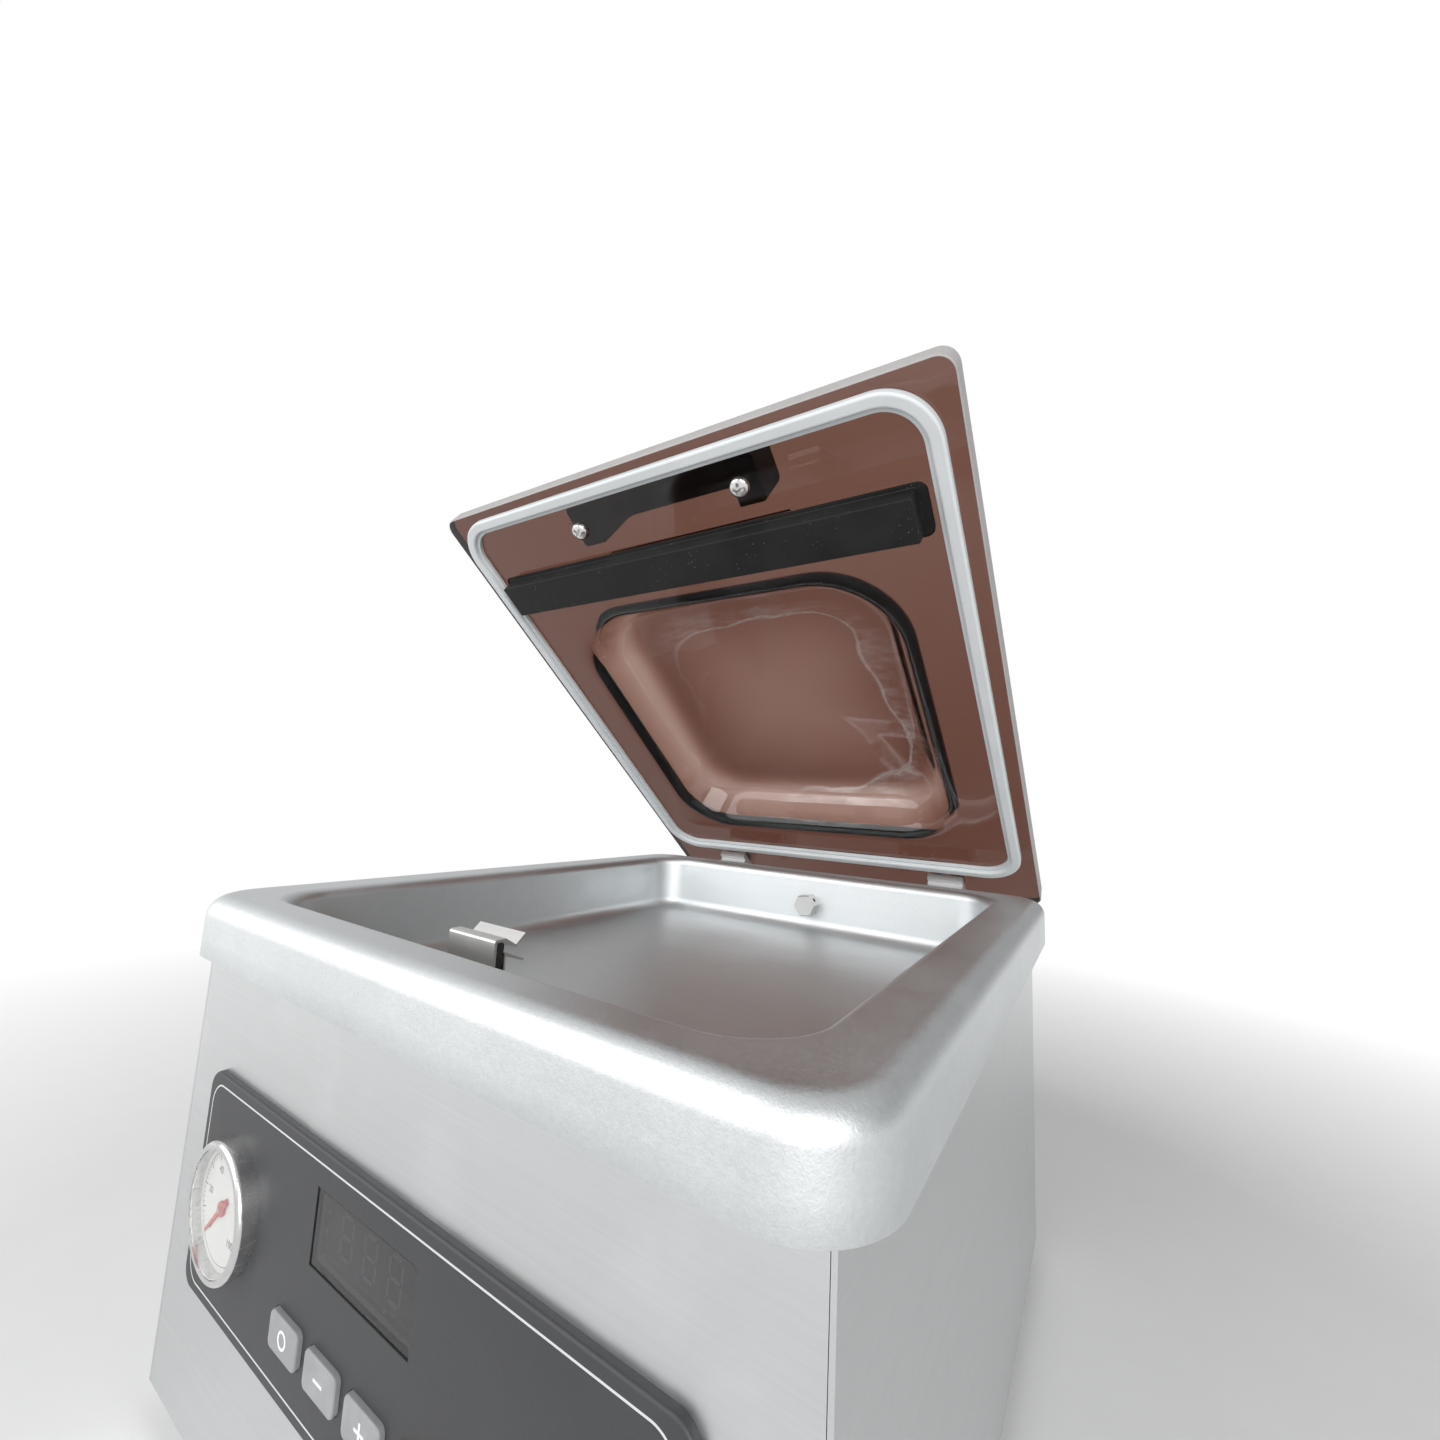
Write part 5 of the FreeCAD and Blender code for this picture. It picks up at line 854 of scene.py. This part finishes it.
dress("seal_bar", brushed("anodised_bar", (0.70, 0.70, 0.71), "x", 0.36))
dress("heating_ribbon", brushed("ribbon_alloy", (0.52, 0.50, 0.47), "x", 0.34))
dress("ribbon_clamps", cast_metal("clamp_brass", (0.74, 0.57, 0.29), 0.25))
dress("lift_rods", plated("ground_rod", (0.72, 0.72, 0.72)))
form = bmesh.new()
rings = [tape_section(4 * i - 140, 0.05 * math.sin(i * 1.7) + 0.03 * math.sin(i * 0.6 + 1))
         for i in range(71)]
ended(form, stacked(form, rings))
settled("tape_cover", form, [woven_tape()], "seal_bar", "sealing_tape")


# Hinge brackets and pins: folded steel ears screwed behind the housing, one pair on each side.
# A headed pin through the ears carries the lid's arm, and a second pin stops it when open.
dress("hinge_bracket_left hinge_bracket_right", brushed("bracket_steel", (0.66, 0.66, 0.65), "z"))
dress("hinge_pins", plated("pin_plate", (0.74, 0.74, 0.73)))
BRACKET_FACE = 166.382
seats = [((side * x, BRACKET_FACE, z), BACK)
         for side in (-1, 1) for x in (71.5, 110.1) for z in (164.5, 196.5)]
grown("bracket_screw_heads", SCREWS, seats, LARGE, ZINC_PLATE, "housing", "bracket_screws")


# Lid springs: torsion springs of round wire on the hinge line, one inside each bracket.
# One leg rests on the stop pin and the other under the arm's lug; the coil is wound for the open lid.
HINGE_Y, HINGE_Z, OPEN = 183.182, 214.1, math.radians(38.2)
COIL_FROM, COIL_TO, COIL, COIL_TURNS, LEG = 66.1, 85.9, 6.5, 7, 21.0
WIRE_R, STOP_R, STOP_Y, STOP_Z, PLAY = 0.9, 3.0, 15.93, 2.73, 0.1


def spring_wire():
    finish, at = new_finish("oiled_spring_wire")
    drawn = noise(at, 300, 4.0)
    return shade(finish, blended(drawn, (0.2, 0.195, 0.19), (0.42, 0.41, 0.4)), 0.22 + drawn * 0.2, drawn,
                 0.00004, 0.3, Metallic=1.0)


def wire_path(side, steps=260):
    reach = STOP_R + WIRE_R + PLAY - COIL
    begin = math.acos(reach / math.hypot(STOP_Y, STOP_Z)) - math.atan2(STOP_Y, STOP_Z) - math.pi / 2
    sweep = (begin - (math.pi - OPEN)) % (2 * math.pi) + 2 * math.pi * COIL_TURNS
    advance = (COIL_TO - COIL_FROM) / sweep

    def place(turn):
        a = begin - turn
        y, z = HINGE_Y + COIL * math.cos(a), HINGE_Z + COIL * math.sin(a)
        return Vector((COIL_FROM + advance * turn, y, z))

    def heading(turn):
        a = begin - turn
        return Vector((advance, COIL * math.sin(a), -COIL * math.cos(a))).normalized()

    path = [place(0) - heading(0) * LEG * k / 6 for k in range(6, 0, -1)]
    path += [place(sweep * i / steps) for i in range(steps + 1)]
    path += [place(sweep) + heading(sweep) * LEG * k / 6 for k in range(1, 7)]
    return [Vector((side * p.x, p.y, p.z)) for p in path]


def wire_rings(path, sides=12):
    spread = [2 * math.pi * k / sides for k in range(sides)]
    rings = []
    across = None
    for i, p in enumerate(path):
        ahead = (path[min(i + 1, len(path) - 1)] - path[max(i - 1, 0)]).normalized()
        across = ahead.orthogonal() if across is None else across - ahead * across.dot(ahead)
        across.normalize()
        up = ahead.cross(across)
        rings.append([p + (across * math.cos(a) + up * math.sin(a)) * WIRE_R for a in spread])
    return rings


WIRE = spring_wire()
for name, side in (("right", 1), ("left", -1)):
    form = bmesh.new()
    ended(form, stacked(form, wire_rings(wire_path(side))))
    bmesh.ops.scale(form, vec=(MM, MM, MM), verts=form.verts)
    bmesh.ops.recalc_face_normals(form, faces=form.faces)
    for face in form.faces:
        face.smooth = len(face.verts) == 4
    made = formed("lid_coil_" + name, form, [WIRE])
    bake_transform(made)
    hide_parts("lid_spring_" + name)


# Hinge arms: cast aluminium arms under the lid's rear edge, turning on the pins.
# Each is held by two screws down through the lid, with a lug cast on for the spring's leg.
def opened(y, z):
    dy, dz, a = y - HINGE_Y, z - HINGE_Z, OPEN
    return HINGE_Y + dy * math.cos(a) + dz * math.sin(a), HINGE_Z - dy * math.sin(a) + dz * math.cos(a)


LID_UP = (0, math.sin(OPEN), math.cos(OPEN))
ARM_SCREWS, LID_TOP = (-112, -97, 97, 112), 257.6
LONG = {**LARGE, "Shank Length": 23.0}
dress("hinge_arm_left hinge_arm_right", cast_metal("arm_casting", (0.74, 0.74, 0.74), 0.46))
seats = [((x, *opened(HINGE_Y, LID_TOP)), LID_UP) for x in ARM_SCREWS]
grown("arm_screw_heads", SCREWS, seats, LONG, ZINC_PLATE, "lid", "arm_screws")


# Lid: thick brown-tinted acrylic sheet with a dome blown up in its middle, a pocket for the pad
# along its front, a groove for the gasket round its edge, and frosted sawn edges. A painted sheen
# of pale lines inside the dome, near its front and right-hand walls, stands in for highlights.
LID = (174.5, -218.918, 200.182, 9.0)
GROOVE = (156.8, -204.418, 152.182, 20.0)
POCKET = (153.5, -167.918, -138.918, 5.0)
DOME = (136.0, -132.818, 132.182, 58.0, 48.0)
UNDER, OVER, LID_EASE, GROOVE_TOP, POCKET_TOP = 245.62, 257.58, 0.8, 247.65, 252.65
HANDLE_SCREWS, HANDLE_Y, SCREW_HOLE = (-60, 60), -187.718, 2.8
WALL_IN = {"base": 0.0, "start": 6.3, "mouth": 9.6, "lean": 0.33, "shoulder": 22.0, "height": 36.2,
           "crown": 10.5, "ease": 1.07, "swell": 0.0}
WALL_OUT = {"base": 12.0, "start": 6.0, "mouth": 2.8, "lean": 0.55, "shoulder": 22.0, "height": 49.2,
            "crown": 5.9, "ease": 1.06, "swell": 1.7}


def painted_sheen_marks(at):
    half, front, rear = [size * MM for size in DOME[:3]]
    hinge_y, hinge_z = HINGE_Y * MM, HINGE_Z * MM
    x, y, z = parted(at)
    across = x / half
    shut_y = (y - hinge_y) * math.cos(OPEN) - (z - hinge_z) * math.sin(OPEN)
    along = (shut_y + (hinge_y - (front + rear) / 2)) / ((rear - front) / 2)
    out = ((across * across) ** 2 + (along * along) ** 2) ** 0.25
    drift = noise(at, 15, 1.0) * 0.45 + noise(at, 45) * 0.05
    gap = out + drift - along * 0.1 - 0.88
    streak = noise(stretched(at, (40, 160, 160)), 1.0, 4.0, 0.6)
    line = ramped(at.maths("ABSOLUTE", gap), 0.016, 0.0)
    sheen_veil = ramped(gap, -0.005, 0.012) * ramped(gap, 0.15, 0.03) * ramped(streak, 0.4, 0.75)
    inside = at.node("ShaderNodeAttribute", {"attribute_name": "blown_inside"}, {}, "Fac")
    # The mask paints sheen lines and veils on the dome's inside, near its front and right walls, as painted
    # highlights.
    return (line * 0.75 + sheen_veil * 0.6) * ramped(across - along * 0.5, -0.7, 0.3) * inside


def tinted_acrylic():
    finish, at = new_finish("tinted_acrylic")
    smear = ramped(noise(stretched(at, (30, 12, 12)), 1.0, 5.0, 0.6), 0.52, 0.8)
    mark = painted_sheen_marks(at)
    clear = blended(smear, (1.0, 1.0, 1.0), (0.97, 0.965, 0.96))
    # Where the sheen mask is set, a warm pale, rough metallic film paints a highlight on the dome's inside.
    shade(finish, blended(mark, clear, (0.95, 0.8, 0.72)), 0.012 + smear * 0.05 + mark * 0.5, noise(at, 26),
          0.0003, 0.05, Metallic=mark * 0.6, Transmission_Weight=1.0, IOR=1.49)
    tint = {"Color": (0.375, 0.107, 0.0, 1.0), "Density": 224.0}
    body = at.node("ShaderNodeVolumeAbsorption", {}, tint)
    at.feed(finish.node_tree.nodes["Material Output"], {"Volume": body})
    return finish


def sawn_acrylic():
    finish, at = new_finish("sawn_acrylic")
    teeth = noise(stretched(at, (700, 700, 60)), 1.0, 3.0)
    cloud = noise(at, 50, 3.0)
    return shade(finish, blended(teeth * 0.5 + cloud * 0.5, (0.26, 0.25, 0.245), (0.40, 0.39, 0.385)),
                 0.5 + teeth * 0.2, teeth, 0.00015, 0.5)


def eased_line(points, steps):
    line = []
    for a, b, c, d in zip(points, points[1:], points[2:], points[3:]):
        for k in range(steps):
            t = k / steps
            parts = ((1 - t) ** 3, 3 * t ** 3 - 6 * t * t + 4, -3 * t ** 3 + 3 * t * t + 3 * t + 1, t ** 3)
            line.append([sum(p * q[i] for p, q in zip(parts, (a, b, c, d))) / 6 for i in (0, 1)])
    return line


def arc(x, h, r, first, last, steps):
    turns = [first + (last - first) * k / steps for k in range(steps + 1)]
    return [(x + r * math.cos(a), h + r * math.sin(a)) for a in turns]


def wall_line(base, start, mouth, lean, shoulder, height, crown, ease, swell):
    middle, foot = DOME[0], start + mouth * math.cos(lean)
    line = arc(start, base + mouth, mouth, -math.pi / 2, -lean, 5)
    line = [(foot - (foot - x) * ease, h) for x, h in line]
    line = [(line[0][0] - 9.0, base), (line[0][0] - 4.5, base)] + line
    x, h = line[-1]
    top = height - shoulder + shoulder * math.sin(lean)
    far = x + (top - h) * math.tan(lean)
    line.append(((x + far) / 2 - swell * math.cos(lean), (h + top) / 2 + swell * math.sin(lean)))
    x, h = far + shoulder * math.cos(lean), top - shoulder * math.sin(lean)
    slope = math.atan(2 * crown / (middle - x))
    line += arc(x, h, shoulder, math.pi - lean, math.pi / 2 + slope, 6)
    x, h = line[-1]
    return line + [(x + (middle - x) * k / 6, h + crown * (1 - (1 - k / 6) ** 2)) for k in range(1, 8)]


def dome_rings(points, level, steps):
    half, front, rear, near_r, far_r = DOME
    edge = ring(half, front, rear, near_r, far_r, 0, 16, 12)
    middle = (front + rear) / 2
    rings = []
    for by, h in eased_line(points, steps):
        f = 1 - by / half
        soft = min(max((h - 14) / 30, 0), 1)
        rings.append([])
        for p in edge:
            x, y = p.x * f, middle + (p.y - middle) * f
            wave = 0.5 * math.sin(x * 0.043 + 1.3) * math.sin(y * 0.051 + 0.4)
            wave += 0.12 * math.sin(x * 0.1 + y * 0.07)
            rings[-1].append(Vector((x, y, level + h + soft * wave)))
    return rings


def cap(form, loop):
    middle = form.verts.new(sum((v.co for v in loop), Vector()) / len(loop))
    for i in range(len(loop)):
        form.faces.new((loop[i - 1], loop[i], middle))


def round_hole(form, x, y):
    spread = [2 * math.pi * i / 28 for i in range(28)]
    spots = [(x + SCREW_HOLE * math.cos(a), y + SCREW_HOLE * math.sin(a)) for a in spread]
    return stacked(form, [[(*spot, z) for spot in spots] for z in (UNDER, OVER)])


def swung(form):
    for v in form.verts:
        v.co.y, v.co.z = opened(v.co.y, v.co.z)


form = bmesh.new()
blown = form.verts.layers.float.new("blown_inside")
third = [math.radians(90 * i / 3) for i in range(4)]
rings = [inset(LID, LID_EASE * (1 - math.sin(a)), UNDER + LID_EASE * (1 - math.cos(a))) for a in third]
rings += [inset(LID, LID_EASE * (1 - math.cos(a)), OVER - LID_EASE * (1 - math.sin(a))) for a in third]
edge = stacked(form, rings)
for face in form.faces:
    face.material_index = 1
steps = ((-9.05, UNDER), (-9.05, GROOVE_TOP), (0.05, GROOVE_TOP), (0.05, UNDER))
groove = stacked(form, [inset(GROOVE, by, z) for by, z in steps])
inner = stacked(form, dome_rings(wall_line(**WALL_IN), UNDER, 10))
for loop in inner:
    for v in loop:
        v[blown] = 1.0
cap(form, inner[-1])
outer = stacked(form, dome_rings(wall_line(**WALL_OUT), OVER - 12, 5))
cap(form, outer[-1])
steps = [(-0.5, UNDER), (-0.15, UNDER + 0.15), (0, UNDER + 0.5)]
steps += [(0, POCKET_TOP - 0.4), (0.15, POCKET_TOP - 0.15), (0.5, POCKET_TOP)]
pocket = stacked(form, [inset(POCKET, by, z) for by, z in steps])
holes = [round_hole(form, x, HANDLE_Y) for x in HANDLE_SCREWS]
far_holes = [round_hole(form, x, HINGE_Y) for x in ARM_SCREWS]
flat(form, [edge[0], groove[0]] + [hole[0] for hole in far_holes])
flat(form, [groove[-1], inner[0], pocket[0]] + [hole[0] for hole in holes])
flat(form, [edge[-1], outer[0]] + [hole[1] for hole in holes + far_holes])
flat(form, [pocket[-1]])
swung(form)
settled("tinted_lid", form, [tinted_acrylic(), sawn_acrylic()], "lid", "lid_shell", 50.0)


# Lid gasket: extruded white silicone pressed into the lid's groove, joined without a seam.
# A rounded bead seals on the pan's rim, with a shallower lip on the chamber side.
def silicone_white():
    finish, at = new_finish("white_silicone")
    milk = noise(at, 40, 3.0)
    dust = ramped(cells(at, 500), 0.12, 0.04) * ramped(noise(at, 80), 0.55, 0.7)
    tone = blended(milk, (0.50, 0.525, 0.535), (0.60, 0.62, 0.63))
    return shade(finish, blended(dust * 0.5, tone, (0.4, 0.4, 0.39)), 0.4 + milk * 0.14, noise(at, 900),
                 0.00008, 0.25)


SEAL_TOP, BEAD, BEAD_Z = 245.6, 1.6, -3.7
section = [(0.1, 2.0), (0.1, 0.0), (0.0, -0.3), (0.0, -2.3)]
section += [(0.3, -2.6), (2.0, -2.6), (2.2, -2.8), (2.2, BEAD_Z)]
section += [(3.8 - BEAD * math.cos(a), BEAD_Z - BEAD * math.sin(a)) for a in quarter[1:]]
section += [(7.4 + BEAD * math.sin(a), BEAD_Z - BEAD * math.cos(a)) for a in quarter]
section += [(9.0, -0.3), (8.9, 0.0), (8.9, 2.0)]
form = bmesh.new()
stacked(form, [inset(GROOVE, -u, SEAL_TOP + z, 18) for u, z in section], closed=True)
swung(form)
settled("lid_seal", form, [silicone_white()], "lid", "lid_gasket", 40.0)


# Press pad: solid black silicone bar with a flange that fills the lid's pocket, where the seal bar meets
# it. Its edges are cut, faintly bowed, with pale dust clinging to the faces.
FLANGE = (153.3, -167.718, -139.118, 4.8)
BAR = (148.2, -165.318, -141.518, 1.2)
FLANGE_TOP, FLANGE_FOOT, BAR_EDGE, PAD_FACE, PAD_EASE, CUT_EASE = 252.55, 245.8, 245.4, 234.1, 0.4, 0.6
levels = [(FLANGE, PAD_EASE, FLANGE_TOP), (FLANGE, 0, FLANGE_TOP - 0.35)]
levels += [(FLANGE, 0, FLANGE_FOOT + PAD_EASE), (FLANGE, PAD_EASE, FLANGE_FOOT)]
levels += [(BAR, -PAD_EASE, FLANGE_FOOT), (BAR, 0, BAR_EDGE)]
levels += [(BAR, 0, BAR_EDGE + (PAD_FACE + CUT_EASE - BAR_EDGE) * k / 4) for k in range(1, 5)]
levels += [(BAR, CUT_EASE * (1 - math.cos(a)), PAD_FACE + CUT_EASE * (1 - math.sin(a))) for a in third[1:]]
form = bmesh.new()
loops = stacked(form, [inset(outline, by, z, 4) for outline, by, z in levels])
flat(form, [loops[0]])
flat(form, [loops[-1]])
for v in form.verts:
    v.co.y += 0.25 * math.sin(v.co.x * 0.021 + 0.5) * min(max((244 - v.co.z) / 8, 0), 1)
swung(form)
settled("pad_bar", form, [rubber("pad_silicone", (0.006, 0.006, 0.006), (0.5, 0.5, 0.48), 0.3)], "lid",
        "press_pad", 30.0)


# Handle: one-piece black moulded bow on top of the lid, held by two screws from below.
# Fine spark-eroded grain all over, a little polished where hands close round it.
dress("lid_handle", moulded("handle_plastic", (0.014, 0.014, 0.0145), 1000, 0.42, 0.00012))
LID_DOWN = tuple(-c for c in LID_UP)
LID_FOOT = 245.6
seats = [((x, *opened(HANDLE_Y, LID_FOOT)), LID_DOWN) for x in HANDLE_SCREWS]
grown("handle_screw_heads", SCREWS, seats, LONG, plated("bright_nickel", (0.8, 0.79, 0.77), 0.04), "lid",
      "handle_screws")


# Studio: pale floor that runs out into white, and two broad soft lamps. The backdrop is white to the eye
# and through the acrylic, and a soft grey in steel, lighter to the upper front left.
# The camera stands at the front right corner, close to the rim.
def floor_finish():
    finish, at = new_finish("pale_floor")
    away = at.node("ShaderNodeVectorMath", {"operation": "LENGTH"}, {0: at}, "Value")
    grain = noise(at, 30, 3.0)
    shade(finish, blended(grain, (0.84, 0.84, 0.84), (0.87, 0.87, 0.87)), 0.8 + grain * 0.1)
    pale = Socket(at.tree, finish.node_tree.nodes["Principled BSDF"].outputs[0])
    glow = at.node("ShaderNodeEmission", {}, {"Color": (1, 1, 1, 1), "Strength": 1.0})
    white = at.node("ShaderNodeMixShader", {}, {0: ramped(away, 0.45, 1.1), 1: pale, 2: glow})
    at.feed(finish.node_tree.nodes["Material Output"], {"Surface": white})
    return finish


FLOOR_HALF = 30.0
mesh = bpy.data.meshes.new("studio_floor")
spots = [(x * FLOOR_HALF, y * FLOOR_HALF, 0) for x, y in ((-1, -1), (1, -1), (1, 1), (-1, 1))]
mesh.from_pydata(spots, [], [(0, 1, 2, 3)])
mesh.materials.append(floor_finish())
placed("studio_floor", mesh)

world = bpy.data.worlds.new("white_room")
world.use_nodes = True
bpy.context.scene.world = world
start = Socket(world.node_tree)
seen, mirrored, through = [start.node("ShaderNodeLightPath", output="Is %s Ray" % kind)
                           for kind in ("Camera", "Glossy", "Transmission")]
across, along, rise = parted(start.node("ShaderNodeTexCoord", output="Generated"))
ROOM = 0.34
grey = ROOM + ramped(rise - across * 0.8 - along * 0.5, -0.4, 1.4) * 0.5
clear = start.maths("MINIMUM", seen + through, 1.0)
mirrored = mirrored * (1 - clear)
light = clear + mirrored * grey + (1 - clear) * (1 - mirrored) * ROOM
start.feed(world.node_tree.nodes["Background"], {"Color": (1, 1, 1, 1), "Strength": light})

AIM = Vector((0, 0, 0.25))
for name, place, size, power in (("soft_key", Vector((-1.2, -1.9, 1.2)), 2.6, 40.0),
                                 ("soft_fill", Vector((1.4, -1.8, 0.85)), 2.0, 46.0)):
    lamp = bpy.data.lights.new(name, "AREA")
    lamp.shape, lamp.size, lamp.energy = "DISK", size, power
    holder = placed(name, lamp)
    holder.location = place
    holder.rotation_euler = (AIM - place).to_track_quat("-Z", "Y").to_euler()

EYE = Vector((0.22217, -0.34567, 0.30369))
PITCH, ROLL, HEADING = 97.147, -2.8661, 32.7579
lens = bpy.data.cameras.new("camera")
lens.lens, lens.sensor_width, lens.clip_start = 14.977, 36.0, 0.01
camera = placed("camera", lens)
turn = Euler([math.radians(angle) for angle in (PITCH, ROLL, HEADING)])
camera.matrix_world = Matrix.LocRotScale(EYE, turn, None)
bpy.context.scene.camera = camera
bpy.context.scene.view_settings.view_transform = "Standard"
